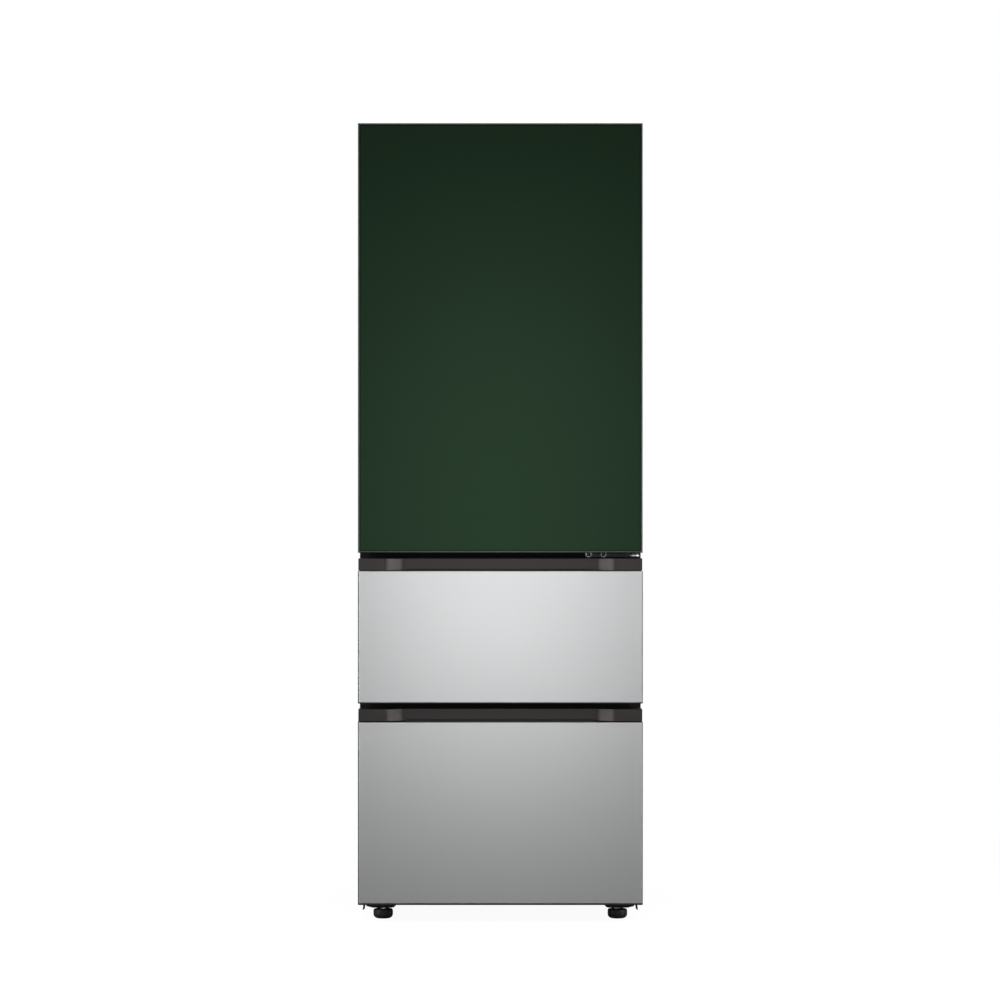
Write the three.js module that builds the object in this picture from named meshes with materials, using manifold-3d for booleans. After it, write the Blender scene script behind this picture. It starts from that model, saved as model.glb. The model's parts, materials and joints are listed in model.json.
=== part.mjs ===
// Kimchi refrigerator: one tall glass door over two insulated drawers.
// Millimetres, +Z up, front towards -Y. The origin is on the floor, under the middle of the body.

import * as THREE from "three";
import { mergeVertices } from "three/addons/utils/BufferGeometryUtils.js";
import Module from "manifold-3d";

const wasm = await Module();
wasm.setup();

// ------------------------------------------------------------------ sizes

const FIT = 0.3; // clearance between two pieces that touch
const PAST = 2; // how far a cutting tool runs past the face it opens

// Fronts, from the floor up
const FRONT_OVERHANG = 2; // each front is this much wider than the cabinet on each side
const FRONT_THICKNESS = 62;
const GROUND_CLEARANCE = 42;
const LOWER_FRONT_HEIGHT = 457.5;
const MIDDLE_FRONT_HEIGHT = 339;
const DOOR_HEIGHT = 1004.5;
const FRONT_GAP = 13.5;

// Cabinet
const CABINET_WIDTH = 662;
const CABINET_DEPTH = 659;
const SHEET = 1; // outer steel
const LINER = 1.5; // inner plastic skin
const SIDE_WALL = 50;
const TOP_WALL = 50;
const BACK_WALL = 58;
const FLOOR_WALL = 44;
const DIVIDER = 54; // between two rooms
const SEAL_FLANGE = 25; // steel folded in at the mouth, for the magnetic seals
const CROSSBAR_DEPTH = 24;
const HINGE_ROOM = 20; // the door stands this far above the cabinet
const REAR_BEAD = 4;
const BEAD_WIDTH = 40;
const BEAD_SPACING = 190;
const BEAD_END_HEIGHT = 90; // of flat sheet above and below the beads

// Base and machine room
const BASE_DROP = 6; // the base hangs this far below the fronts
const BASE_SHEET = 2;
const MACHINE_DEPTH = 196;
const MACHINE_HEIGHT = 252;
const MACHINE_WALL = 46;
const BACK_LAP = 12; // the back panel hangs this far over the machine room
const FOOT_INSET = 54; // from the cabinet's side
const FOOT_SETBACK = 34; // from the cabinet's mouth
const FOOT_RADIUS = 24;
const FOOT_HEIGHT = 21;
const STEM_RADIUS = 5;
const STEM_TOP = 22; // above the base
const STEM_WELL_RADIUS = 9;
const FOOT_PAD_DROP = 8;
const FOOT_PAD_DEPTH = 56;
const FOOT_PAD_OUTER = 45; // reach of the pad from the stem
const FOOT_PAD_INNER = 34;
const FOOT_PAD_SLOPE = 8;
const FOOT_PAD_FLAT = 12;
const LIP_DROP = 13;
const LIP_WIDTH = 39;
const LIP_SHEET = 2.5;
const LIP_SLANT = 3;
const LIP_INSET = 8; // from the base's side
const ROLLER_INSET = 61; // from the cabinet's side
const ROLLER_SETBACK = 62; // from the back
const ROLLER_RADIUS = 17;
const ROLLER_WIDTH = 16;
const AXLE_RADIUS = 4;
const EAR_SHEET = 2.5;
const EAR_HALF = 12;
const LOUVRE_COUNT = 8;
const LOUVRE_LENGTH = 190;
const LOUVRE_HEIGHT = 6;
const LOUVRE_PITCH = 18;
const GLAND_INSET = 69; // from the cabinet's side
const GLAND_Z = 78;
const GLAND_RADIUS = 8;
const GLAND_DEPTH = 8;
const GLAND_FLANGE = 4;
const CORD_RADIUS = 4;

// Seals
const SEAL_GAP = 12;
const SEAL_WIDTH = 15;
const SEAL_SIDE_INSET = 18; // from the cabinet's side
const SEAL_END_INSET = 3;

// Drawer fronts and grips
const HANDLE_HEIGHT = 29.5;
const HANDLE_WALL = 3;
const HANDLE_SETBACK = 1;
const HANDLE_SHADOW = 1.2; // dark line between the steel and the grip
const RECESS_DEPTH = 30;
const RECESS_INSET = 57; // from the front's side to where the grip starts to curve in
const RECESS_RUN = 56;
const RECESS_STEPS = 8;
const LIP = 10; // steel folded back over the finger pocket
const PANEL_RETURN = 20; // steel folded back at the sides
const POCKET_DEPTH = 24;
const POCKET_WALL = 2.5;
const BACK_PLATE = 5;

// Telescopic rails and drawer frames
const RAIL_SETBACK = 8; // from the cabinet's mouth
const RAIL_SHEET = 1.5;
const RAIL_HALF_HEIGHT = 23;
const RAIL_BREADTH = 12.2;
const MIDDLE_RAIL_GAP = 123; // behind the rails of each drawer
const LOWER_RAIL_GAP = 24;
const FRAME_LIFT = 12; // above the room's floor
const FRAME_SHEET = 2;
const FRAME_SIDE_HEIGHT = 90;
const FRAME_REAR_HEIGHT = 60;

// Kimchi containers
const CONTAINER_SIDE_ROOM = 20.4; // of each half of the frame, for rims and lids
const CONTAINER_REAR_GAP = 6;
const CONTAINER_HEADROOM = 54; // between the rim and the room's ceiling
const CONTAINER_WALL = 2.5;
const CONTAINER_CORNER = 20;
const CONTAINER_RIM = 4;
const RIM_HEIGHT = 6;
const CONTAINER_SETBACK = 12; // behind the drawer front
const LID_PLATE = 3;
const LID_SKIRT = 11;
const LID_CROWN = 7;
const LID_CROWN_INSET = 14;

// Door
const TRIM = 4; // metal seen round the glass
const GLASS = 4;
const GLASS_SETBACK = 0.5;
const TRIM_DEPTH = 18;
const TRIM_LEDGE = 14;
const DOOR_BODY_INSET = 1;
const RIDGE_INSET = 19; // from the room's side
const RIDGE_WIDTH = 22;
const RIDGE_DEPTH = 72;
const RIDGE_CLEARANCE = 12;
const LOWER_BASKET_HEIGHT = 330; // of its ledges above the door's bottom
const UPPER_BASKET_HEIGHT = 640;
const BASKET_HEIGHT = 108;
const BASKET_DEPTH = 86;
const BASKET_WALL = 2.5;
const BASKET_RISE = 12; // of the basket's edge above its hanging flange
const BASKET_LEDGE = 9;
const LEDGE_THICKNESS = 5;
const BASKET_CORNER = 12;

// Hinges
const HINGE_INSET_X = 17; // axis from the door's right edge
const HINGE_INSET_Y = 30.5; // axis from the door's front
const HINGE_PIN_RADIUS = 5;
const HINGE_PIN_LENGTH = 15;
const HINGE_PLATE = 4;
const ARM_HALF = 10;
const LOWER_FLANGE_REACH = 116; // the bracket reaches this far in from the axis
const LOWER_FLANGE_SHEET = 3;
const LOWER_FLANGE_HALF_HEIGHT = 4.5;
const LOBE_RADIUS = 7.5;
const LOBE_OFFSET = 73; // of the first screw lobe from the axis
const LOBE_SPACING = 35;
const NOTCH_REACH = 35;
const NOTCH_SKIN = 9;
const TOP_BASE_WIDTH = 92;
const TOP_BASE_DEPTH = 92;
const TOP_BASE_SETBACK = 10; // from the cabinet's mouth
const COVER_WALL = 2;
const COVER_MARGIN = 14;

// Fittings of the upper room
const LOWER_SHELF_HEIGHT = 300; // of its ledges above the room's floor
const UPPER_SHELF_HEIGHT = 600;
const SHELF_GLASS = 4;
const SHELF_FRONT = 100; // from the cabinet's mouth
const SHELF_RIM = 13;
const SHELF_RIM_DROP = 8;
const SHELF_LEDGE = 10;
const SHELF_LEDGE_THICKNESS = 6;
const DUCT_DEPTH = 62;
const DUCT_WALL = 3;
const DUCT_INSET = 19; // from the room's side
const DUCT_END_GAP = 20; // to the room's floor and ceiling
const VENT_ROWS = 5;
const VENT_LENGTH = 120;
const VENT_HEIGHT = 9;
const VENT_X = 130;
const VENT_PITCH = 118;
const VENT_TOP = 60; // from the duct's top to its first vent
const INTAKE_COUNT = 9;
const INTAKE_WIDTH = 10;
const INTAKE_HEIGHT = 44;
const INTAKE_PITCH = 40;
const EVAPORATOR_INSET = 62; // from the duct's side
const EVAPORATOR_DEPTH = 46;
const EVAPORATOR_HEIGHT = 190;
const EVAPORATOR_LIFT = 70; // above the room's floor
const EVAPORATOR_FINS = 24;
const BEND_RADIUS = 9;
const FAN_LIFT = 340; // above the room's floor
const LAMP_HALF = 160;
const LAMP_DEPTH = 62;
const LAMP_THICKNESS = 11;
const LAMP_SETBACK = 130;
const PANEL_HALF = 112;
const PANEL_DEPTH = 52;
const PANEL_THICKNESS = 9;
const CONTROL_SETBACK = 26;
const FITTING_CORNER = 8;

// Cooling machinery
const FAN_RADIUS = 64;
const FAN_HUB = 21;
const FAN_WIDTH = 24;
const FAN_BLADES = 5;
const FAN_PITCH = 32; // degrees
const BLADE_CHORD = 40;
const BLADE_THICKNESS = 2;
const MOTOR_RADIUS = 22;
const MOTOR_LENGTH = 14;
const SHAFT_RADIUS = 3;
const FAN_STANDOFF = 2;
const COMPRESSOR_INSET = 163; // from the cabinet's side
const COMPRESSOR_RADIUS = 76;
const COMPRESSOR_LENGTH = 222;
const COMPRESSOR_FOOT_X = 84;
const COMPRESSOR_FOOT_Y = 58;
const GROMMET_RADIUS = 12;
const GROMMET_HEIGHT = 12;
const MOUNT_PLATE = 3;
const TERMINAL_WIDTH = 60;
const TERMINAL_HEIGHT = 58;
const TERMINAL_DEPTH = 24;
const SUCTION_OFFSET = 58;
const SUCTION_RADIUS = 5;
const DISCHARGE_OFFSET = 52;
const DISCHARGE_RADIUS = 4;
const STUB_HEIGHT = 24;
const CONDENSER_INSET = 59; // from the cabinet's side
const CONDENSER_HALF = 30;
const CONDENSER_DEPTH = 152;
const CONDENSER_HEIGHT = 184;
const CONDENSER_FINS = 18;
const FIN_SHEET = 1.2;
const SHROUD_SHEET = 3;
const SHROUD_GAP = 5;

// ---------------------------------------------------------- derived places

const HALF_CABINET = CABINET_WIDTH / 2;
const HALF_FRONT = HALF_CABINET + FRONT_OVERHANG;
const DEPTH = FRONT_THICKNESS + SEAL_GAP + CABINET_DEPTH + REAR_BEAD;
const FRONT_Y = -DEPTH / 2;
const MOUTH_Y = FRONT_Y + FRONT_THICKNESS + SEAL_GAP;
const BACK_Y = MOUTH_Y + CABINET_DEPTH;

const LOWER_Z = GROUND_CLEARANCE;
const MIDDLE_Z = LOWER_Z + LOWER_FRONT_HEIGHT + FRONT_GAP;
const DOOR_Z = MIDDLE_Z + MIDDLE_FRONT_HEIGHT + FRONT_GAP;
const CABINET_TOP = DOOR_Z + DOOR_HEIGHT - HINGE_ROOM;
const CABINET_BOTTOM = GROUND_CLEARANCE - BASE_DROP;
const LOWER_SPLIT = MIDDLE_Z - FRONT_GAP / 2;
const UPPER_SPLIT = DOOR_Z - FRONT_GAP / 2;

const MACHINE_Y = BACK_Y - MACHINE_DEPTH;
const MACHINE_TOP = CABINET_BOTTOM + MACHINE_HEIGHT;
const BASE_TOP = CABINET_BOTTOM + BASE_SHEET;
const FOOT_X = HALF_CABINET - FOOT_INSET;
const FOOT_Y = MOUTH_Y + FOOT_SETBACK;
const ROLLER_X = HALF_CABINET - ROLLER_INSET;
const GLAND_X = GLAND_INSET - HALF_CABINET;
const COMPRESSOR_X = HALF_CABINET - COMPRESSOR_INSET;
const CONDENSER_X = CONDENSER_INSET - HALF_CABINET;

const ROOM_HALF = HALF_CABINET - SIDE_WALL;
const BAR_HALF = HALF_CABINET - SEAL_FLANGE - FIT;
const ROOM_BACK = BACK_Y - BACK_WALL;
const UPPER_ROOM = { z0: UPPER_SPLIT + DIVIDER / 2, z1: CABINET_TOP - TOP_WALL, back: ROOM_BACK };
const MIDDLE_ROOM = { z0: LOWER_SPLIT + DIVIDER / 2, z1: UPPER_SPLIT - DIVIDER / 2, back: ROOM_BACK };
const LOWER_ROOM = {
  z0: CABINET_BOTTOM + FLOOR_WALL,
  z1: LOWER_SPLIT - DIVIDER / 2,
  back: MACHINE_Y - MACHINE_WALL,
};

const HINGE_X = HALF_FRONT - HINGE_INSET_X;
const HINGE_Y = FRONT_Y + HINGE_INSET_Y;
const RIDGE_X = ROOM_HALF - RIDGE_INSET - RIDGE_WIDTH;
const DUCT_HALF = ROOM_HALF - DUCT_INSET;
const EVAPORATOR_HALF = DUCT_HALF - EVAPORATOR_INSET;
const RECESS_START = HALF_FRONT - RECESS_INSET;
const RAIL_OUTER_X = ROOM_HALF - FIT;
const RAIL_STEP = RAIL_SHEET + FIT; // each nested member is this much smaller

// -------------------------------------------------------------- materials

const finish = (color, roughness, metalness) =>
  new THREE.MeshStandardMaterial({ color, roughness, metalness, flatShading: true });

const MATERIALS = {
  greenGlass: finish(0x2a3f2e, 0.22, 0),
  satinSteel: finish(0xb9bbbd, 0.35, 0.9),
  trimMetal: finish(0x5a605b, 0.35, 0.85),
  gripBronze: finish(0x3a3736, 0.35, 0.6),
  graphite: finish(0x2c2d2f, 0.45, 0.4),
  zincSteel: finish(0x9b9da0, 0.45, 0.85),
  linerWhite: finish(0xeceeee, 0.4, 0),
  foam: finish(0xe3d9a8, 0.95, 0),
  seal: finish(0x3c3d3f, 0.7, 0),
  railSteel: finish(0xb5b7ba, 0.3, 0.95),
  clearPlastic: finish(0xdde3e4, 0.15, 0),
  shelfGlass: finish(0xcfdedb, 0.08, 0),
  container: finish(0xd9dbd8, 0.35, 0),
  lid: finish(0x8c9092, 0.45, 0),
  blackPlastic: finish(0x1b1b1c, 0.5, 0),
  blackPaint: finish(0x141415, 0.4, 0.3),
  finAluminium: finish(0xc4c7c9, 0.4, 0.9),
  lampLens: finish(0xf6f6f0, 0.5, 0),
};

// ------------------------------------------------------------ shape tools

// A closed geometry as a solid that can be cut and joined.
function solid(geometry, matrix = new THREE.Matrix4()) {
  const bare = new THREE.BufferGeometry();
  bare.setAttribute("position", geometry.getAttribute("position").clone());
  if (geometry.index) bare.setIndex(geometry.index.clone());
  bare.applyMatrix4(matrix);
  const merged = mergeVertices(bare, 1e-4);
  const triVerts = [];
  const index = merged.index.array;
  for (let i = 0; i < index.length; i += 3) {
    const [a, b, c] = [index[i], index[i + 1], index[i + 2]];
    if (a !== b && b !== c && c !== a) triVerts.push(a, b, c);
  }
  const vertProperties = new Float32Array(merged.attributes.position.array);
  return new wasm.Manifold(
    new wasm.Mesh({ numProp: 3, vertProperties, triVerts: new Uint32Array(triVerts) }),
  );
}

const join = (...bodies) => bodies.reduce((all, body) => all.add(body));
const cut = (body, ...tools) => tools.reduce((rest, tool) => rest.subtract(tool), body);

const UNIT = {
  x: new THREE.Vector3(1, 0, 0),
  y: new THREE.Vector3(0, 1, 0),
  z: new THREE.Vector3(0, 0, 1),
};

// Turns a shape made along +Z so that it runs along another axis; x, y and z stay in cyclic order.
const ALONG = {
  x: new THREE.Matrix4().makeBasis(UNIT.y, UNIT.z, UNIT.x),
  y: new THREE.Matrix4().makeBasis(UNIT.z, UNIT.x, UNIT.y),
  z: new THREE.Matrix4(),
};

function block([x0, x1], [y0, y1], [z0, z1]) {
  const box = new THREE.BoxGeometry(x1 - x0, y1 - y0, z1 - z0);
  return solid(box.translate((x0 + x1) / 2, (y0 + y1) / 2, (z0 + z1) / 2));
}

// A range of x on one side of the middle: -1 for the left, 1 for the right.
const sided = (side, near, far) => (side < 0 ? [-far, -near] : [near, far]);

// A range of a given width about a middle.
const around = (middle, width) => [middle - width / 2, middle + width / 2];

// A block as wide to the left of the middle as to the right.
const centred = (half, y, z) => block([-half, half], y, z);

// An outline pulled along an axis. It is drawn in the next two axes in turn:
// y and z for x, z and x for y, x and y for z.
function pulled(axis, outline, [from, to], curveSegments = 4) {
  const settings = { depth: to - from, bevelEnabled: false, curveSegments };
  return solid(new THREE.ExtrudeGeometry(outline, settings).translate(0, 0, from), ALONG[axis]);
}

const polygon = (points) => new THREE.Shape(points.map(([u, v]) => new THREE.Vector2(u, v)));

function roundedRectangle([u0, u1], [v0, v1], radius) {
  const shape = new THREE.Shape();
  const quarter = Math.PI / 2;
  shape.absarc(u1 - radius, v0 + radius, radius, -quarter, 0);
  shape.absarc(u1 - radius, v1 - radius, radius, 0, quarter);
  shape.absarc(u0 + radius, v1 - radius, radius, quarter, 2 * quarter);
  shape.absarc(u0 + radius, v0 + radius, radius, 2 * quarter, 3 * quarter);
  return shape;
}

// A profile of [radius, height] points, from one end of the axis to the other, turned about that axis.
function turned(axis, profile, centre, segments = 20) {
  const points = profile.map(([radius, height]) => new THREE.Vector2(radius, height));
  const lathe = new THREE.LatheGeometry(points, segments).rotateX(Math.PI / 2);
  const place = new THREE.Matrix4().setPosition(...centre).multiply(ALONG[axis]);
  return solid(lathe, place);
}

function rod(axis, radius, [from, to], centre, segments = 16) {
  return turned(axis, [[0, from], [radius, from], [radius, to], [0, to]], centre, segments);
}

// A comb: a spine with thin teeth, drawn from u0 to u1 along the spine and v0 to v1 along the teeth.
function combOutline([u0, u1], [v0, v1], spine, teeth, thickness) {
  const step = (u1 - u0 - thickness) / (teeth - 1);
  const points = [[u0, v0], [u1, v0]];
  for (let i = teeth - 1; i >= 0; i--) {
    const left = u0 + i * step;
    if (i < teeth - 1) points.push([left + thickness, v0 + spine]);
    points.push([left + thickness, v1], [left, v1]);
    if (i > 0) points.push([left, v0 + spine]);
  }
  return polygon(points);
}

// A named mesh of a finished solid.
function piece(name, body, material) {
  const { vertProperties, triVerts } = body.getMesh();
  const geometry = new THREE.BufferGeometry();
  geometry.setAttribute("position", new THREE.BufferAttribute(new Float32Array(vertProperties), 3));
  geometry.setIndex(new THREE.BufferAttribute(new Uint32Array(triVerts), 1));
  geometry.computeVertexNormals();
  const mesh = new THREE.Mesh(geometry, material);
  mesh.name = name;
  return mesh;
}

function group(pieces, [x, y, z] = [0, 0, 0]) {
  const made = new THREE.Group();
  made.add(...pieces);
  made.position.set(x, y, z);
  return made;
}

// ---------------------------------------------------------------- cabinet

// Two sides and a top of one folded sheet, with the seal flange folded in at the mouth.
function cabinetShell() {
  const end = BACK_Y - SHEET - FIT;
  const outer = centred(HALF_CABINET, [MOUTH_Y, end], [CABINET_BOTTOM, CABINET_TOP]);
  const hollow = centred(
    HALF_CABINET - SHEET,
    [MOUTH_Y + SHEET, end + PAST],
    [CABINET_BOTTOM - PAST, CABINET_TOP - SHEET],
  );
  const mouth = centred(
    HALF_CABINET - SEAL_FLANGE,
    [MOUTH_Y - PAST, MOUTH_Y + SHEET + PAST],
    [CABINET_BOTTOM - PAST, CABINET_TOP - SEAL_FLANGE],
  );
  return cut(outer, hollow, mouth);
}

function backPanel() {
  const z0 = MACHINE_TOP - BACK_LAP;
  const beads = [-1, 0, 1].map((side) =>
    block(
      around(side * BEAD_SPACING, BEAD_WIDTH),
      [BACK_Y - SHEET / 2, BACK_Y + REAR_BEAD],
      [z0 + BEAD_END_HEIGHT, CABINET_TOP - BEAD_END_HEIGHT],
    ),
  );
  return join(centred(HALF_CABINET, [BACK_Y - SHEET, BACK_Y], [z0, CABINET_TOP]), ...beads);
}

const grownRoom = (room, extra) =>
  centred(ROOM_HALF + extra, [MOUTH_Y - PAST, room.back + extra], [room.z0 - extra, room.z1 + extra]);

const crossbarRange = (split) => {
  const half = DIVIDER / 2 - LINER - FIT;
  return [split - half, split + half];
};

// The insulation between the outer steel and the three liners.
function cabinetFoam() {
  const body = centred(
    HALF_CABINET - SHEET - FIT,
    [MOUTH_Y + LINER + FIT, BACK_Y - SHEET - FIT],
    [BASE_TOP + FIT, CABINET_TOP - SHEET - FIT],
  );
  const rooms = [UPPER_ROOM, MIDDLE_ROOM, LOWER_ROOM].map((room) => grownRoom(room, LINER + FIT));
  const bars = [LOWER_SPLIT, UPPER_SPLIT].map((split) => {
    const [z0, z1] = crossbarRange(split);
    return centred(BAR_HALF + FIT, [MOUTH_Y - PAST, MOUTH_Y + CROSSBAR_DEPTH + FIT], [z0 - FIT, z1 + FIT]);
  });
  const machine = centred(
    HALF_CABINET,
    [MACHINE_Y - FIT, BACK_Y + PAST],
    [CABINET_BOTTOM - PAST, MACHINE_TOP + FIT],
  );
  const wells = [-1, 1].map((side) =>
    rod("z", STEM_WELL_RADIUS, [BASE_TOP - PAST, BASE_TOP + STEM_TOP], [side * FOOT_X, FOOT_Y, 0], 12),
  );
  return cut(body, ...rooms, ...bars, machine, ...wells);
}

// A moulded room with its flanges at the mouth. flangeTop and flangeBottom are where those flanges end.
function liner(room, { flangeBottom = room.z0 - LINER, flangeTop = room.z1 + LINER, ledges = [] }) {
  const tub = centred(ROOM_HALF + LINER, [MOUTH_Y, room.back + LINER], [room.z0 - LINER, room.z1 + LINER]);
  const flange = centred(BAR_HALF, [MOUTH_Y, MOUTH_Y + LINER], [flangeBottom, flangeTop]);
  const shelfLedges = ledges.flatMap((top) =>
    [-1, 1].map((side) => {
      const x = sided(side, ROOM_HALF - SHELF_LEDGE, ROOM_HALF + LINER / 2);
      const y = [MOUTH_Y + SHELF_FRONT, room.back - DUCT_DEPTH - SHELF_RIM];
      return block(x, y, [top - SHELF_LEDGE_THICKNESS, top]);
    }),
  );
  const shell = cut(join(tub, flange), grownRoom(room, 0));
  return join(shell, ...shelfLedges);
}

// A steel channel across the mouth, between two rooms.
function crossbar(split) {
  const [z0, z1] = crossbarRange(split);
  const channel = polygon([
    [MOUTH_Y, z0],
    [MOUTH_Y + CROSSBAR_DEPTH, z0],
    [MOUTH_Y + CROSSBAR_DEPTH, z0 + LINER],
    [MOUTH_Y + LINER, z0 + LINER],
    [MOUTH_Y + LINER, z1 - LINER],
    [MOUTH_Y + CROSSBAR_DEPTH, z1 - LINER],
    [MOUTH_Y + CROSSBAR_DEPTH, z1],
    [MOUTH_Y, z1],
  ]);
  return pulled("x", channel, [-BAR_HALF, BAR_HALF]);
}

// Floor, machine-room step, pads for the feet, ears for the rollers and front lips, in one base.
function basePan() {
  const side = HALF_CABINET - SHEET - FIT;
  const end = BACK_Y - SHEET - FIT;
  const front = MOUTH_Y + SHEET + FIT;
  const floor = centred(side, [front, end], [CABINET_BOTTOM, BASE_TOP]);
  const riser = centred(side, [MACHINE_Y, MACHINE_Y + SHEET], [BASE_TOP - SHEET, MACHINE_TOP]);
  const roof = centred(side, [MACHINE_Y, end], [MACHINE_TOP - SHEET, MACHINE_TOP]);
  const padHalf = FOOT_PAD_DEPTH / 2;
  const fittings = [-1, 1].flatMap((s) => {
    const padOutline = [
      [BASE_TOP - SHEET, s * (FOOT_X + FOOT_PAD_OUTER)],
      [CABINET_BOTTOM - SHEET, s * (FOOT_X + FOOT_PAD_OUTER)],
      [CABINET_BOTTOM - FOOT_PAD_DROP + BASE_SHEET, s * (FOOT_X + FOOT_PAD_FLAT)],
      [CABINET_BOTTOM - FOOT_PAD_DROP, s * (FOOT_X - FOOT_PAD_INNER + FOOT_PAD_SLOPE)],
      [BASE_TOP - SHEET, s * (FOOT_X - FOOT_PAD_INNER)],
    ];
    const lip = side - LIP_INSET;
    const lipOutline = [
      [CABINET_BOTTOM + SHEET, s * lip],
      [CABINET_BOTTOM - LIP_DROP, s * (lip + LIP_SLANT)],
      [CABINET_BOTTOM - LIP_DROP, s * (lip + LIP_SLANT - LIP_SHEET)],
      [CABINET_BOTTOM + SHEET, s * (lip - LIP_SHEET)],
    ];
    const ears = [-1, 1].map((e) => {
      const x = around(s * ROLLER_X + e * (ROLLER_WIDTH / 2 + FIT + EAR_SHEET / 2), EAR_SHEET);
      const y = around(BACK_Y - ROLLER_SETBACK, 2 * EAR_HALF);
      return block(x, y, [ROLLER_RADIUS - EAR_HALF, BASE_TOP - SHEET]);
    });
    return [
      pulled("y", polygon(padOutline), [FOOT_Y - padHalf, FOOT_Y + padHalf]),
      pulled("y", polygon(lipOutline), [front, front + LIP_WIDTH]),
      ...ears,
    ];
  });
  const holes = [-1, 1].flatMap((s) => [
    rod("z", STEM_RADIUS + FIT, [0, BASE_TOP + PAST], [s * FOOT_X, FOOT_Y, 0]),
    rod(
      "x",
      AXLE_RADIUS + FIT,
      [-ROLLER_WIDTH, ROLLER_WIDTH],
      [s * ROLLER_X, BACK_Y - ROLLER_SETBACK, ROLLER_RADIUS],
    ),
  ]);
  return cut(join(floor, riser, roof, ...fittings), ...holes);
}

// Levelling foot, standing at its own origin.
function frontFoot() {
  const flat = FOOT_RADIUS - 8;
  const stemTop = BASE_TOP + STEM_TOP - PAST;
  const profile = [
    [0, 0],
    [flat, 0],
    [FOOT_RADIUS - 3, 2.5],
    [FOOT_RADIUS, 7],
    [FOOT_RADIUS, FOOT_HEIGHT - 4],
    [FOOT_RADIUS - 4, FOOT_HEIGHT],
    [STEM_RADIUS + 4, FOOT_HEIGHT + 1],
    [STEM_RADIUS, FOOT_HEIGHT + 2],
    [STEM_RADIUS, stemTop],
    [0, stemTop],
  ];
  return turned("z", profile, [0, 0, 0], 24);
}

// Roller with its stub axles, about its own centre.
function rearRoller() {
  const half = ROLLER_WIDTH / 2;
  const end = half + FIT + EAR_SHEET + 1;
  const profile = [
    [0, -end],
    [AXLE_RADIUS, -end],
    [AXLE_RADIUS, -half],
    [ROLLER_RADIUS - 1.5, -half],
    [ROLLER_RADIUS, 1.5 - half],
    [ROLLER_RADIUS, half - 1.5],
    [ROLLER_RADIUS - 1.5, half],
    [AXLE_RADIUS, half],
    [AXLE_RADIUS, end],
    [0, end],
  ];
  return turned("x", profile, [0, 0, 0], 24);
}

function rearCover() {
  const z1 = MACHINE_TOP - BACK_LAP - FIT;
  const plate = centred(HALF_CABINET, [BACK_Y - SHEET, BACK_Y], [CABINET_BOTTOM, z1]);
  const middle = (CABINET_BOTTOM + z1) / 2;
  const louvres = [-1, 1].flatMap((s) =>
    Array.from({ length: LOUVRE_COUNT }, (_, i) => {
      const z = middle + (i - (LOUVRE_COUNT - 1) / 2) * LOUVRE_PITCH;
      const x = s * (LOUVRE_LENGTH / 2 + LOUVRE_PITCH);
      const y = [BACK_Y - SHEET - PAST, BACK_Y + PAST];
      return block(around(x, LOUVRE_LENGTH), y, around(z, LOUVRE_HEIGHT));
    }),
  );
  const glandHole = rod("y", GLAND_RADIUS + FIT, [-SHEET - PAST, PAST], [GLAND_X, BACK_Y, GLAND_Z]);
  return cut(plate, ...louvres, glandHole);
}

// Bush in the rear cover, where the mains lead comes out.
function cordGland() {
  const flange = GLAND_RADIUS + GLAND_FLANGE;
  const profile = [
    [CORD_RADIUS, -GLAND_DEPTH],
    [GLAND_RADIUS, -GLAND_DEPTH],
    [GLAND_RADIUS, FIT],
    [flange, FIT],
    [flange, 2],
    [GLAND_RADIUS - 1, REAR_BEAD],
    [CORD_RADIUS, REAR_BEAD],
    [CORD_RADIUS, -GLAND_DEPTH],
  ];
  return turned("y", profile, [GLAND_X, BACK_Y, GLAND_Z], 16);
}

// ------------------------------------------------------------- upper room

// Moulded cover over the evaporator, with vents, an air intake and the fan motor on its back.
function ductCover() {
  const front = UPPER_ROOM.back - DUCT_DEPTH;
  const z0 = UPPER_ROOM.z0 + DUCT_END_GAP;
  const z1 = UPPER_ROOM.z1 - DUCT_END_GAP;
  const outer = centred(DUCT_HALF, [front, UPPER_ROOM.back - FIT], [z0, z1]);
  const hollow = centred(
    DUCT_HALF - DUCT_WALL,
    [front + DUCT_WALL, UPPER_ROOM.back + PAST],
    [z0 + DUCT_WALL, z1 - DUCT_WALL],
  );
  const through = [front - PAST, front + DUCT_WALL + PAST];
  const vents = [-1, 1].flatMap((s) =>
    Array.from({ length: VENT_ROWS }, (_, i) => {
      const z = z1 - VENT_TOP - i * VENT_PITCH;
      return block(around(s * VENT_X, VENT_LENGTH), through, around(z, VENT_HEIGHT));
    }),
  );
  const intakes = Array.from({ length: INTAKE_COUNT }, (_, i) => {
    const x = (i - (INTAKE_COUNT - 1) / 2) * INTAKE_PITCH;
    return block(around(x, INTAKE_WIDTH), through, around(z0 + INTAKE_HEIGHT, INTAKE_HEIGHT));
  });
  const axis = [0, front + DUCT_WALL, UPPER_ROOM.z0 + FAN_LIFT];
  const motor = rod("y", MOTOR_RADIUS, [-DUCT_WALL / 2, MOTOR_LENGTH], axis);
  const shaft = rod("y", SHAFT_RADIUS, [0, MOTOR_LENGTH + FAN_WIDTH], axis, 10);
  return join(cut(outer, hollow, ...vents, ...intakes), motor, shaft);
}

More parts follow.
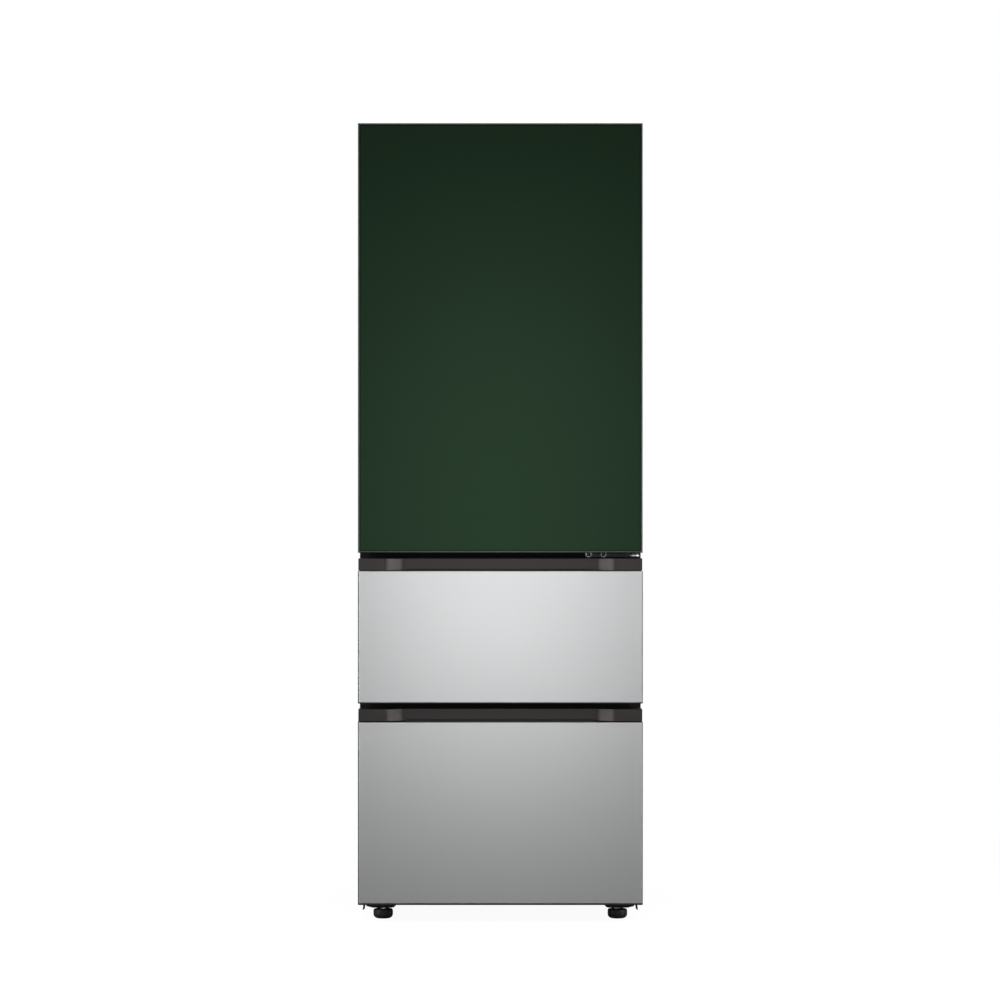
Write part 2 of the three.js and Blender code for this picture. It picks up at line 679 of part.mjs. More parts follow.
// Finned coil: upright fins on a back rail, between two end plates with the tube bends.
function evaporator() {
  const back = UPPER_ROOM.back - FIT;
  const z0 = UPPER_ROOM.z0 + EVAPORATOR_LIFT;
  const z1 = z0 + EVAPORATOR_HEIGHT;
  const wide = [-EVAPORATOR_HALF, EVAPORATOR_HALF];
  const outline = combOutline(wide, [0, EVAPORATOR_DEPTH], 6, EVAPORATOR_FINS, FIN_SHEET);
  const fins = solid(
    new THREE.ExtrudeGeometry(outline, { depth: EVAPORATOR_HEIGHT, bevelEnabled: false }),
    new THREE.Matrix4().makeRotationZ(Math.PI).setPosition(0, back, z0),
  );
  const bends = [-1, 1].flatMap((s) =>
    [0.2, 0.4, 0.6, 0.8].map((share) =>
      rod(
        "y",
        BEND_RADIUS,
        [back - EVAPORATOR_DEPTH + 8, back - 4],
        [s * (EVAPORATOR_HALF + 4), 0, z0 + share * EVAPORATOR_HEIGHT],
        8,
      ),
    ),
  );
  return cut(join(fins, ...bends), centred(EVAPORATOR_HALF, [back, back + PAST], [z0, z1]));
}

// A rotor about its own centre, spinning on +Z.
function fanRotor() {
  const half = FAN_WIDTH / 2;
  const hub = rod("z", FAN_HUB, [-half, half], [0, 0, 0], 16);
  const blade = new THREE.BoxGeometry(FAN_RADIUS - FAN_HUB + 4, BLADE_CHORD, BLADE_THICKNESS);
  const pitch = new THREE.Matrix4().makeRotationX(THREE.MathUtils.degToRad(FAN_PITCH));
  const out = new THREE.Matrix4().makeTranslation((FAN_RADIUS + FAN_HUB - 4) / 2, 0, 0);
  const blades = Array.from({ length: FAN_BLADES }, (_, i) => {
    const round = new THREE.Matrix4().makeRotationZ((2 * Math.PI * i) / FAN_BLADES);
    return solid(blade, round.multiply(out).multiply(pitch));
  });
  return cut(join(hub, ...blades), rod("z", SHAFT_RADIUS + FIT, [-FAN_WIDTH, FAN_WIDTH], [0, 0, 0], 10));
}

function shelf(level) {
  const z = UPPER_ROOM.z0 + level + FIT;
  const half = ROOM_HALF - 2 * FIT;
  const y0 = MOUTH_Y + SHELF_FRONT;
  const y1 = UPPER_ROOM.back - DUCT_DEPTH - 2 * FIT;
  const inner = ROOM_HALF - SHELF_LEDGE - 2 * FIT;
  return join(
    centred(half, [y0, y1], [z, z + SHELF_GLASS]),
    centred(inner, [y0, y0 + SHELF_RIM], [z - SHELF_RIM_DROP, z + SHELF_GLASS + 2]),
    centred(inner, [y1 - SHELF_RIM, y1], [z - SHELF_RIM_DROP / 2, z + SHELF_GLASS + SHELF_RIM_DROP]),
  );
}

// A low rounded plate against the ceiling of the upper room.
function ceilingFitting(half, setback, depth, thickness) {
  const y0 = MOUTH_Y + setback;
  const outline = roundedRectangle([-half, half], [y0, y0 + depth], FITTING_CORNER);
  const top = UPPER_ROOM.z1 - FIT;
  return pulled("z", outline, [top - thickness, top], 3);
}

// ----------------------------------------------------------- machine room

// Hermetic compressor on its mounting plate and rubber grommets.
function compressor() {
  const r = COMPRESSOR_RADIUS;
  const half = COMPRESSOR_LENGTH / 2;
  const y = (MACHINE_Y + BACK_Y) / 2;
  const plateZ = BASE_TOP + FIT + GROMMET_HEIGHT;
  const centre = [COMPRESSOR_X, y, plateZ + MOUNT_PLATE + r - 4];
  const can = [
    [0, -half],
    [0.55 * r, 6 - half],
    [0.88 * r, 20 - half],
    [r, 42 - half],
    [r, -6],
    [r + 3, -5],
    [r + 3, 5],
    [r, 6],
    [r, half - 42],
    [0.88 * r, half - 20],
    [0.55 * r, half - 6],
    [0, half],
  ];
  const feet = [-1, 1].flatMap((u) =>
    [-1, 1].map((v) =>
      rod(
        "z",
        GROMMET_RADIUS,
        [BASE_TOP + FIT, plateZ + MOUNT_PLATE + 2],
        [COMPRESSOR_X + u * COMPRESSOR_FOOT_X, y + v * COMPRESSOR_FOOT_Y, 0],
        10,
      ),
    ),
  );
  const plate = block(
    [COMPRESSOR_X - COMPRESSOR_FOOT_X - 16, COMPRESSOR_X + COMPRESSOR_FOOT_X + 16],
    [y - COMPRESSOR_FOOT_Y - 14, y + COMPRESSOR_FOOT_Y + 14],
    [plateZ, plateZ + MOUNT_PLATE],
  );
  const terminals = block(
    around(COMPRESSOR_X, TERMINAL_WIDTH),
    around(y + r, TERMINAL_DEPTH),
    around(centre[2], TERMINAL_HEIGHT),
  );
  const stubs = [
    rod("z", SUCTION_RADIUS, [0, r + STUB_HEIGHT], [COMPRESSOR_X - SUCTION_OFFSET, y, centre[2]], 8),
    rod("z", DISCHARGE_RADIUS, [0, r + STUB_HEIGHT], [COMPRESSOR_X + DISCHARGE_OFFSET, y, centre[2]], 8),
  ];
  return join(turned("x", can, centre), plate, terminals, ...stubs, ...feet);
}

const CONDENSER_Y = (MACHINE_Y + BACK_Y) / 2;
const CONDENSER_Z = BASE_TOP + FIT + CONDENSER_HEIGHT / 2;
const SHROUD_X = CONDENSER_X + CONDENSER_HALF + SHROUD_GAP;

// Finned condenser with the shroud and motor of its fan.
function condenser() {
  const y0 = CONDENSER_Y - CONDENSER_DEPTH / 2;
  const y1 = CONDENSER_Y + CONDENSER_DEPTH / 2;
  const z0 = CONDENSER_Z - CONDENSER_HEIGHT / 2;
  const z1 = CONDENSER_Z + CONDENSER_HEIGHT / 2;
  const fins = pulled(
    "x",
    combOutline([y0, y1], [z0, z1], 5, CONDENSER_FINS, FIN_SHEET),
    around(CONDENSER_X, 2 * CONDENSER_HALF),
  );
  const header = block(around(CONDENSER_X, 2 * CONDENSER_HALF), [y0, y1], [z1 - 4, z1]);
  const shroud = block([SHROUD_X, SHROUD_X + SHROUD_SHEET], [y0, y1], [z0, z1]);
  const opening = rod(
    "x",
    FAN_RADIUS + 4,
    [SHROUD_X - PAST, SHROUD_X + SHROUD_SHEET + PAST],
    [0, CONDENSER_Y, CONDENSER_Z],
    24,
  );
  const links = [z0, z1 - 4].map((z) =>
    block([CONDENSER_X + CONDENSER_HALF - 2, SHROUD_X + 1], [y0, y1], [z, z + 4]),
  );
  const spokes = [
    block([SHROUD_X, SHROUD_X + SHROUD_SHEET], [y0, y1], [CONDENSER_Z - 5, CONDENSER_Z + 5]),
    block([SHROUD_X, SHROUD_X + SHROUD_SHEET], [CONDENSER_Y - 5, CONDENSER_Y + 5], [z0, z1]),
  ];
  const axis = [SHROUD_X, CONDENSER_Y, CONDENSER_Z];
  const motor = rod("x", MOTOR_RADIUS, [0, SHROUD_SHEET + MOTOR_LENGTH], axis);
  const shaft = rod("x", SHAFT_RADIUS, [0, SHROUD_SHEET + MOTOR_LENGTH + FAN_WIDTH], axis, 10);
  return join(fins, header, cut(shroud, opening), ...links, ...spokes, motor, shaft);
}

// ----------------------------------------------------------------- hinges

// The bracket between door and middle drawer: a lobed flange on the crossbar, an arm and an upright pin.
function lowerHinge() {
  const face = MOUTH_Y - FIT;
  const mid = UPPER_SPLIT;
  const flange = block(
    [HINGE_X - LOWER_FLANGE_REACH, HINGE_X + ARM_HALF],
    [face - LOWER_FLANGE_SHEET, face],
    [mid - LOWER_FLANGE_HALF_HEIGHT, mid + LOWER_FLANGE_HALF_HEIGHT],
  );
  const lobes = [LOBE_OFFSET, LOBE_OFFSET + LOBE_SPACING].map((offset) =>
    rod("y", LOBE_RADIUS, [face - LOWER_FLANGE_SHEET, face], [HINGE_X - offset, 0, mid], 16),
  );
  const plate = [mid - HINGE_PLATE / 2, mid + HINGE_PLATE / 2];
  const arm = block([HINGE_X - 2 * ARM_HALF, HINGE_X + ARM_HALF], [HINGE_Y, face - 1], plate);
  const eye = rod("z", ARM_HALF, plate, [HINGE_X, HINGE_Y, 0]);
  const pin = rod("z", HINGE_PIN_RADIUS, [mid, DOOR_Z + HINGE_PIN_LENGTH], [HINGE_X, HINGE_Y, 0], 16);
  return join(flange, ...lobes, arm, eye, pin);
}

// The bracket on top of the cabinet, with a pin that hangs into the door.
function topHinge() {
  const z = [CABINET_TOP + FIT, CABINET_TOP + FIT + HINGE_PLATE];
  const y0 = MOUTH_Y + TOP_BASE_SETBACK;
  const right = HINGE_X + ARM_HALF;
  const base = block([right - TOP_BASE_WIDTH, right], [y0, y0 + TOP_BASE_DEPTH], z);
  const arm = block([HINGE_X - ARM_HALF, HINGE_X + ARM_HALF], [HINGE_Y, y0 + 1], z);
  const eye = rod("z", ARM_HALF, z, [HINGE_X, HINGE_Y, 0]);
  const pin = rod("z", HINGE_PIN_RADIUS, [z[0] - HINGE_PIN_LENGTH, z[1]], [HINGE_X, HINGE_Y, 0], 16);
  return join(base, arm, eye, pin);
}

function topHingeCover() {
  const y0 = MOUTH_Y + TOP_BASE_SETBACK - 2 * COVER_WALL;
  const y1 = y0 + TOP_BASE_DEPTH + COVER_MARGIN;
  const x0 = HINGE_X + ARM_HALF - TOP_BASE_WIDTH - COVER_MARGIN;
  const x1 = HINGE_X + ARM_HALF + 2 * COVER_WALL;
  const z0 = CABINET_TOP + FIT;
  const z1 = CABINET_TOP + HINGE_ROOM - 2;
  const outer = pulled("z", roundedRectangle([x0, x1], [y0, y1], 6), [z0, z1], 3);
  const hollow = block(
    [x0 + COVER_WALL, x1 - COVER_WALL],
    [y0 + COVER_WALL, y1 - COVER_WALL],
    [z0 - PAST, z1 - COVER_WALL],
  );
  const armSlot = block(
    [HINGE_X - ARM_HALF - FIT, HINGE_X + ARM_HALF + FIT],
    [y0 - PAST, y0 + COVER_WALL + PAST],
    [z0 - PAST, z0 + HINGE_PLATE + 2 * FIT],
  );
  return cut(outer, hollow, armSlot);
}

// ------------------------------------------------------------------- door

// The door's pieces stand at x = 0, with y = 0 at its front and z = 0 at its bottom.
const NOTCH_FLOOR = DOOR_HEIGHT - HINGE_ROOM - FIT;

const hingeNotch = (y0) =>
  block(
    [HINGE_X - NOTCH_REACH, HALF_FRONT + PAST],
    [y0, FRONT_THICKNESS + PAST],
    [NOTCH_FLOOR, DOOR_HEIGHT + PAST],
  );

function doorGlass() {
  return centred(
    HALF_FRONT - TRIM,
    [GLASS_SETBACK, GLASS_SETBACK + GLASS],
    [TRIM, DOOR_HEIGHT - TRIM],
  );
}

// Metal trim round the glass, with a ledge behind it.
function doorTrim() {
  const outer = centred(HALF_FRONT, [0, TRIM_DEPTH], [0, DOOR_HEIGHT]);
  const window = centred(
    HALF_FRONT - TRIM_LEDGE,
    [-PAST, TRIM_DEPTH + PAST],
    [TRIM_LEDGE, DOOR_HEIGHT - TRIM_LEDGE],
  );
  const seat = centred(
    HALF_FRONT - TRIM + FIT,
    [-PAST, GLASS_SETBACK + GLASS + FIT],
    [TRIM - FIT, DOOR_HEIGHT - TRIM + FIT],
  );
  return cut(outer, window, seat, hingeNotch(NOTCH_SKIN));
}

// Foamed body of the door, with its inner ridges and their basket ledges.
function doorCore() {
  const back = FRONT_THICKNESS;
  const body = centred(
    HALF_FRONT - DOOR_BODY_INSET,
    [TRIM_DEPTH + FIT, back],
    [DOOR_BODY_INSET, DOOR_HEIGHT - DOOR_BODY_INSET],
  );
  const fill = centred(
    HALF_FRONT - TRIM_LEDGE - FIT,
    [GLASS_SETBACK + GLASS + FIT, TRIM_DEPTH + PAST],
    [TRIM_LEDGE + FIT, DOOR_HEIGHT - TRIM_LEDGE - FIT],
  );
  const ridgeZ = [
    UPPER_ROOM.z0 + RIDGE_CLEARANCE - DOOR_Z,
    UPPER_ROOM.z1 - RIDGE_CLEARANCE - DOOR_Z,
  ];
  const ridges = [-1, 1].flatMap((s) => {
    const ledgeX = sided(s, RIDGE_X - BASKET_LEDGE, RIDGE_X + 1);
    const ledges = [LOWER_BASKET_HEIGHT, UPPER_BASKET_HEIGHT].map((level) =>
      block(ledgeX, [back - 1, back + RIDGE_DEPTH - 4], [level - LEDGE_THICKNESS, level]),
    );
    const ridge = block(sided(s, RIDGE_X, RIDGE_X + RIDGE_WIDTH), [back - 1, back + RIDGE_DEPTH], ridgeZ);
    return [ridge, ...ledges];
  });
  const boreLength = HINGE_PIN_LENGTH + PAST;
  const bores = [
    [-PAST, boreLength],
    [NOTCH_FLOOR - boreLength, NOTCH_FLOOR + PAST],
  ].map((z) => rod("z", HINGE_PIN_RADIUS + FIT, z, [HINGE_X, HINGE_INSET_Y, 0]));
  return cut(join(body, fill, ...ridges), hingeNotch(TRIM_DEPTH), ...bores);
}

// A seal ring on the back of a front, in that front's own frame.
function seal(height, topInset) {
  const y = [FRONT_THICKNESS + FIT, FRONT_THICKNESS + SEAL_GAP - FIT];
  const half = HALF_CABINET - SEAL_SIDE_INSET;
  const z = [SEAL_END_INSET, height - topInset];
  return cut(
    centred(half, y, z),
    centred(half - SEAL_WIDTH, [y[0] - PAST, y[1] + PAST], [z[0] + SEAL_WIDTH, z[1] - SEAL_WIDTH]),
  );
}

// Open bin that hangs by its side flanges on the ledges of the door.
function doorBasket(level) {
  const half = RIDGE_X - BASKET_LEDGE - 2 * FIT;
  const y = [FRONT_THICKNESS + FIT, FRONT_THICKNESS + BASKET_DEPTH];
  const top = level + BASKET_RISE;
  const z = [top - BASKET_HEIGHT, top];
  const tub = pulled("z", roundedRectangle([-half, half], y, BASKET_CORNER), z, 3);
  const hollow = pulled(
    "z",
    roundedRectangle(
      [BASKET_WALL - half, half - BASKET_WALL],
      [y[0] + BASKET_WALL, y[1] - BASKET_WALL],
      BASKET_CORNER - BASKET_WALL,
    ),
    [z[0] + BASKET_WALL, z[1] + PAST],
    3,
  );
  const flanges = [-1, 1].map((s) =>
    block(
      sided(s, half - 1, RIDGE_X - FIT),
      [y[0] + BASKET_CORNER, y[1] - BASKET_CORNER],
      [level + FIT, level + FIT + LEDGE_THICKNESS],
    ),
  );
  return cut(join(tub, ...flanges), hollow);
}

// ---------------------------------------------------------------- drawers

// Each drawer stands at x = 0, with y = 0 at its front and z = 0 at its bottom.
const DRAWERS = [
  {
    name: "middle",
    z: MIDDLE_Z,
    height: MIDDLE_FRONT_HEIGHT,
    room: MIDDLE_ROOM,
    railGap: MIDDLE_RAIL_GAP,
  },
  {
    name: "lower",
    z: LOWER_Z,
    height: LOWER_FRONT_HEIGHT,
    room: LOWER_ROOM,
    railGap: LOWER_RAIL_GAP,
  },
];

const POCKET_HALF = RECESS_START - RECESS_RUN;
const RECESS_Y = HANDLE_SETBACK + RECESS_DEPTH;
const RAIL_FRONT = FRONT_THICKNESS + SEAL_GAP + RAIL_SETBACK;
const FRAME_OUTER = RAIL_OUTER_X - RAIL_BREADTH - 2 * FIT - RAIL_SHEET;

// Steel skin folded back at its edges; its top lip is cut short over the finger pocket.
function drawerPanel({ height }) {
  const top = height - HANDLE_HEIGHT;
  return cut(
    centred(HALF_FRONT, [0, PANEL_RETURN], [0, top]),
    centred(HALF_FRONT - SHEET, [SHEET, PANEL_RETURN + PAST], [SHEET, top - SHEET]),
    centred(POCKET_HALF, [LIP, PANEL_RETURN + PAST], [top - SHEET - PAST, top + PAST]),
  );
}

// Front edge of the grip: flush at both ends, curved in to a recess between them.
function gripEdge(half, offset) {
  const edge = [];
  for (let i = 0; i <= RECESS_STEPS; i++) {
    const share = i / RECESS_STEPS;
    const depth = (RECESS_DEPTH * (1 - Math.cos(Math.PI * share))) / 2;
    edge.push([RECESS_START - RECESS_RUN * share, HANDLE_SETBACK + depth + offset]);
  }
  const right = [[half, HANDLE_SETBACK + offset], ...edge];
  return [...right.map(([x, y]) => [-x, y]), ...right.reverse()];
}

const gripOutline = (half, offset, back) =>
  polygon([...gripEdge(half, offset), [half, back], [-half, back]]);

// Grip moulding: a curved band with a finger pocket that drops behind the steel lip.
function drawerHandle({ height }) {
  const panelTop = height - HANDLE_HEIGHT;
  const bandZ = panelTop + HANDLE_SHADOW;
  const half = HALF_FRONT - HANDLE_SETBACK;
  const back = FRONT_THICKNESS - BACK_PLATE - FIT;
  const inside = gripOutline(half - HANDLE_WALL, HANDLE_WALL, back - HANDLE_WALL);
  const band = cut(
    pulled("z", gripOutline(half, 0, back), [bandZ, height]),
    pulled("z", inside, [bandZ - PAST, height - HANDLE_WALL]),
  );
  const rim = panelTop - SHEET - FIT;
  const floor = panelTop - POCKET_DEPTH;
  const outer = POCKET_HALF + POCKET_WALL;
  const backWall = [RECESS_Y, RECESS_Y + HANDLE_WALL];
  const tub = cut(
    centred(outer, [LIP - POCKET_WALL, backWall[1]], [floor - POCKET_WALL, rim]),
    centred(POCKET_HALF, [LIP, backWall[0]], [floor, rim + PAST]),
  );
  return join(band, tub, centred(outer, backWall, [floor, bandZ + HANDLE_WALL]));
}

// Insulated body behind the steel, with the inner plate that carries the seal.
function drawerCore({ height }) {
  const panelTop = height - HANDLE_HEIGHT;
  const half = HALF_FRONT - SHEET - FIT;
  const inside = SHEET + FIT;
  const plateY = FRONT_THICKNESS - BACK_PLATE;
  const outer = POCKET_HALF + POCKET_WALL + FIT;
  return cut(
    join(
      centred(half, [inside, plateY + 1], [inside, panelTop - inside]),
      centred(half, [plateY, FRONT_THICKNESS], [FIT, height - FIT]),
    ),
    centred(
      outer,
      [LIP - POCKET_WALL - FIT, RECESS_Y + HANDLE_WALL + FIT],
      [panelTop - POCKET_DEPTH - POCKET_WALL - FIT, height],
    ),
  );
}

// A C-section rail, open towards the middle of the drawer, from x0 to x1.
function channel(x0, x1, halfHeight, z, y) {
  const s = RAIL_SHEET;
  const outline = polygon([
    [z - halfHeight, x0],
    [z + halfHeight, x0],
    [z + halfHeight, x1],
    [z + halfHeight - s, x1],
    [z + halfHeight - s, x0 + Math.sign(x1 - x0) * s],
    [z - halfHeight + s, x0 + Math.sign(x1 - x0) * s],
    [z - halfHeight + s, x1],
    [z - halfHeight, x1],
  ]);
  return pulled("y", outline, y);
}

const frameFloor = ({ room, z }) => room.z0 + FRAME_LIFT - z;
const railCentre = (drawer) => frameFloor(drawer) + FRAME_SIDE_HEIGHT / 2;
const railSpan = ({ room, railGap }) => [RAIL_FRONT, room.back - railGap - FRONT_Y];

function outerRail(drawer, s) {
  const x0 = s * RAIL_OUTER_X;
  return channel(x0, x0 - s * RAIL_BREADTH, RAIL_HALF_HEIGHT, railCentre(drawer), railSpan(drawer));
}

function middleRail(drawer, s) {
  const x0 = s * (RAIL_OUTER_X - RAIL_STEP);
  const x1 = s * (RAIL_OUTER_X - RAIL_BREADTH + 1);
  return channel(x0, x1, RAIL_HALF_HEIGHT - RAIL_STEP, railCentre(drawer), railSpan(drawer));
}

// Welded frame: a floor with upturned sides and ends, carrying the innermost rail members.
function drawerFrame(drawer) {
  const z0 = frameFloor(drawer);
  const y = [FRONT_THICKNESS + FIT, railSpan(drawer)[1]];
  const t = FRAME_SHEET;
  const members = [-1, 1].map((s) => {
    const tip = s * (RAIL_OUTER_X - 2 * RAIL_STEP);
    const web = s * (FRAME_OUTER - 1);
    return channel(web, tip, RAIL_HALF_HEIGHT - 2 * RAIL_STEP, railCentre(drawer), railSpan(drawer));
  });
  const inner = FRAME_OUTER - t;
  return join(
    centred(FRAME_OUTER, y, [z0, z0 + t]),
    block([-FRAME_OUTER, -inner], y, [z0, z0 + FRAME_SIDE_HEIGHT]),
    block([inner, FRAME_OUTER], y, [z0, z0 + FRAME_SIDE_HEIGHT]),
    centred(FRAME_OUTER, [y[0], y[0] + t], [z0, z0 + FRAME_SIDE_HEIGHT]),
    centred(FRAME_OUTER, [y[1] - t, y[1]], [z0, z0 + FRAME_REAR_HEIGHT]),
    ...members,
  );
}

const containerX = FRAME_OUTER / 2;
const containerY = (drawer) => [
  FRONT_THICKNESS + CONTAINER_SETBACK,
  railSpan(drawer)[1] - FRAME_SHEET - CONTAINER_REAR_GAP - CONTAINER_RIM,
];
const containerBase = (drawer) => frameFloor(drawer) + FRAME_SHEET + FIT;
const containerTop = ({ room, z }) => room.z1 - CONTAINER_HEADROOM - z;

const containerOutline = (drawer, s, grow) => {
  const x = around(s * containerX, FRAME_OUTER - CONTAINER_SIDE_ROOM + 2 * grow);
  const [y0, y1] = containerY(drawer);
  return roundedRectangle(x, [y0 - grow, y1 + grow], CONTAINER_CORNER + grow);
};

function kimchiContainer(drawer, s) {
  const z0 = containerBase(drawer);
  const z1 = containerTop(drawer);
  return cut(
    join(
      pulled("z", containerOutline(drawer, s, 0), [z0, z1], 3),
      pulled("z", containerOutline(drawer, s, CONTAINER_RIM), [z1 - RIM_HEIGHT, z1], 3),
    ),
    pulled("z", containerOutline(drawer, s, -CONTAINER_WALL), [z0 + CONTAINER_WALL, z1 + PAST], 3),
  );
}

// Lid with a skirt round the container's rim and a raised crown.
function containerLid(drawer, s) {
  const rim = containerTop(drawer);
  const z = rim + FIT;
  const skirt = CONTAINER_RIM + FIT + CONTAINER_WALL;
  const top = z + LID_PLATE;
  return join(
    cut(
      pulled("z", containerOutline(drawer, s, skirt), [rim - LID_SKIRT, top], 3),
      pulled("z", containerOutline(drawer, s, CONTAINER_RIM + FIT), [rim - LID_SKIRT - PAST, z], 3),
    ),
    pulled("z", containerOutline(drawer, s, -LID_CROWN_INSET), [top - 1, top + LID_CROWN], 3),
  );
}

function drawerPieces(drawer) {
  const label = (part) => `${drawer.name}_${part}`;
  const sides = [[-1, "left"], [1, "right"]];
  return [
    piece(label("drawer_panel"), drawerPanel(drawer), MATERIALS.satinSteel),
    piece(label("drawer_handle"), drawerHandle(drawer), MATERIALS.gripBronze),
    piece(label("drawer_core"), drawerCore(drawer), MATERIALS.linerWhite),
    piece(label("drawer_seal"), seal(drawer.height, SEAL_END_INSET), MATERIALS.seal),
    piece(label("drawer_frame"), drawerFrame(drawer), MATERIALS.zincSteel),
    ...sides.flatMap(([s, side]) => [
      piece(label(`rail_outer_${side}`), outerRail(drawer, s), MATERIALS.railSteel),
      piece(label(`rail_middle_${side}`), middleRail(drawer, s), MATERIALS.railSteel),
      piece(label(`container_${side}`), kimchiContainer(drawer, s), MATERIALS.container),
      piece(label(`lid_${side}`), containerLid(drawer, s), MATERIALS.lid),
    ]),
  ];
}

// --------------------------------------------------------------- assembly

const cabinet = group([
  piece("cabinet_shell", cabinetShell(), MATERIALS.graphite),
  piece("back_panel", backPanel(), MATERIALS.zincSteel),
  piece("cabinet_foam", cabinetFoam(), MATERIALS.foam),
  piece("base_pan", basePan(), MATERIALS.blackPaint),
  piece(
    "upper_liner",
    liner(UPPER_ROOM, {
      flangeTop: CABINET_TOP - SEAL_FLANGE - FIT,
      ledges: [LOWER_SHELF_HEIGHT, UPPER_SHELF_HEIGHT].map((height) => UPPER_ROOM.z0 + height),
    }),
    MATERIALS.linerWhite,
  ),
  piece("middle_liner", liner(MIDDLE_ROOM, {}), MATERIALS.linerWhite),
  piece("lower_liner", liner(LOWER_ROOM, { flangeBottom: BASE_TOP + FIT }), MATERIALS.linerWhite),
  piece("upper_crossbar", crossbar(UPPER_SPLIT), MATERIALS.graphite),
  piece("lower_crossbar", crossbar(LOWER_SPLIT), MATERIALS.graphite),
  piece("rear_cover", rearCover(), MATERIALS.zincSteel),
  piece("cord_gland", cordGland(), MATERIALS.blackPlastic),
]);

const upperRoomFittings = group([
  piece("duct_cover", ductCover(), MATERIALS.linerWhite),
  piece("evaporator", evaporator(), MATERIALS.finAluminium),
  piece("upper_shelf", shelf(UPPER_SHELF_HEIGHT), MATERIALS.shelfGlass),
  piece("lower_shelf", shelf(LOWER_SHELF_HEIGHT), MATERIALS.shelfGlass),
  piece(
    "control_panel",
    ceilingFitting(PANEL_HALF, CONTROL_SETBACK, PANEL_DEPTH, PANEL_THICKNESS),
    MATERIALS.blackPlastic,
  ),
  piece(
    "lamp_cover",
    ceilingFitting(LAMP_HALF, LAMP_SETBACK, LAMP_DEPTH, LAMP_THICKNESS),
    MATERIALS.lampLens,
  ),
]);

// The rotors are made about +Z and turned onto their shafts.
const evaporatorFan = piece("evaporator_fan", fanRotor(), MATERIALS.blackPlastic);
evaporatorFan.rotation.x = -Math.PI / 2;
evaporatorFan.position.set(
  0,
  UPPER_ROOM.back - DUCT_DEPTH + DUCT_WALL + MOTOR_LENGTH + FAN_STANDOFF / 2 + FAN_WIDTH / 2,
  UPPER_ROOM.z0 + FAN_LIFT,
);

const condenserFan = piece("condenser_fan", fanRotor(), MATERIALS.blackPlastic);
condenserFan.rotation.y = Math.PI / 2;
condenserFan.position.set(
  SHROUD_X + SHROUD_SHEET + MOTOR_LENGTH + FAN_STANDOFF / 2 + FAN_WIDTH / 2,
  CONDENSER_Y,
  CONDENSER_Z,
);

const machineRoom = group([
  piece("compressor", compressor(), MATERIALS.blackPaint),
  piece("condenser", condenser(), MATERIALS.finAluminium),
]);

const hinges = group([
  piece("lower_hinge", lowerHinge(), MATERIALS.zincSteel),
  piece("top_hinge", topHinge(), MATERIALS.zincSteel),
  piece("top_hinge_cover", topHingeCover(), MATERIALS.graphite),
]);

const undercarriage = group(
  [[-1, "left"], [1, "right"]].flatMap(([s, side]) => {
    const foot = piece(`front_foot_${side}`, frontFoot(), MATERIALS.blackPlastic);
    foot.position.set(s * FOOT_X, FOOT_Y, 0);
    const roller = piece(`rear_roller_${side}`, rearRoller(), MATERIALS.blackPlastic);
    roller.position.set(s * ROLLER_X, BACK_Y - ROLLER_SETBACK, ROLLER_RADIUS);
    return [foot, roller];
  }),
);

const door = group(
  [
    piece("door_glass", doorGlass(), MATERIALS.greenGlass),
    piece("door_trim", doorTrim(), MATERIALS.trimMetal),
    piece("door_core", doorCore(), MATERIALS.linerWhite),
    piece("door_seal", seal(DOOR_HEIGHT, HINGE_ROOM + SEAL_END_INSET), MATERIALS.seal),
    piece("lower_door_basket", doorBasket(LOWER_BASKET_HEIGHT), MATERIALS.clearPlastic),
    piece("upper_door_basket", doorBasket(UPPER_BASKET_HEIGHT), MATERIALS.clearPlastic),
  ],
  [0, FRONT_Y, DOOR_Z],
);

const drawers = DRAWERS.map((drawer) => group(drawerPieces(drawer), [0, FRONT_Y, drawer.z]));

const refrigerator = new THREE.Group();
refrigerator.name = "kimchi_refrigerator";
refrigerator.add(
  cabinet,
  upperRoomFittings,
  evaporatorFan,
  machineRoom,
  condenserFan,
  hinges,
  undercarriage,
  door,
  ...drawers,
);

export default refrigerator;
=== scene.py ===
"""A tall kimchi refrigerator: one glass door over two steel drawers, dressed around its CAD frame."""

import json
import math
from contextlib import contextmanager

import bmesh
import bpy
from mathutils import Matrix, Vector

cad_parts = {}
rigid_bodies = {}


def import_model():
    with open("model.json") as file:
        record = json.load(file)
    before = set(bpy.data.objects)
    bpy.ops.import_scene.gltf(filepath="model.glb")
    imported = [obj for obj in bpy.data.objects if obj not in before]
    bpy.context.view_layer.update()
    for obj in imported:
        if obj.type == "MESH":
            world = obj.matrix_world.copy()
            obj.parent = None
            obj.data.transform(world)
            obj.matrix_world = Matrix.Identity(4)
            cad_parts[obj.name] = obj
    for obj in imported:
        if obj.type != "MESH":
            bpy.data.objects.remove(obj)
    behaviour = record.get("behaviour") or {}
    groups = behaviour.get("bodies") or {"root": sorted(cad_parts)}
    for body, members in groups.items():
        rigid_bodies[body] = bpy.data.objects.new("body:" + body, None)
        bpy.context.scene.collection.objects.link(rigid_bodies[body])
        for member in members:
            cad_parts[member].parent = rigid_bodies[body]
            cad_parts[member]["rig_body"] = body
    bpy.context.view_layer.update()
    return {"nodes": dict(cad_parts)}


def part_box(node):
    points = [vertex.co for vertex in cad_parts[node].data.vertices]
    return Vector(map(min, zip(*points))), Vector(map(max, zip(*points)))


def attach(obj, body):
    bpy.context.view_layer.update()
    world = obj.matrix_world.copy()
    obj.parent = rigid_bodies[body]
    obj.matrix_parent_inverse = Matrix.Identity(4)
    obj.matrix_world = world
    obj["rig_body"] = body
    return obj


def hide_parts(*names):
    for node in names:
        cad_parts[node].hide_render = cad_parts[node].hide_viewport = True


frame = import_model()

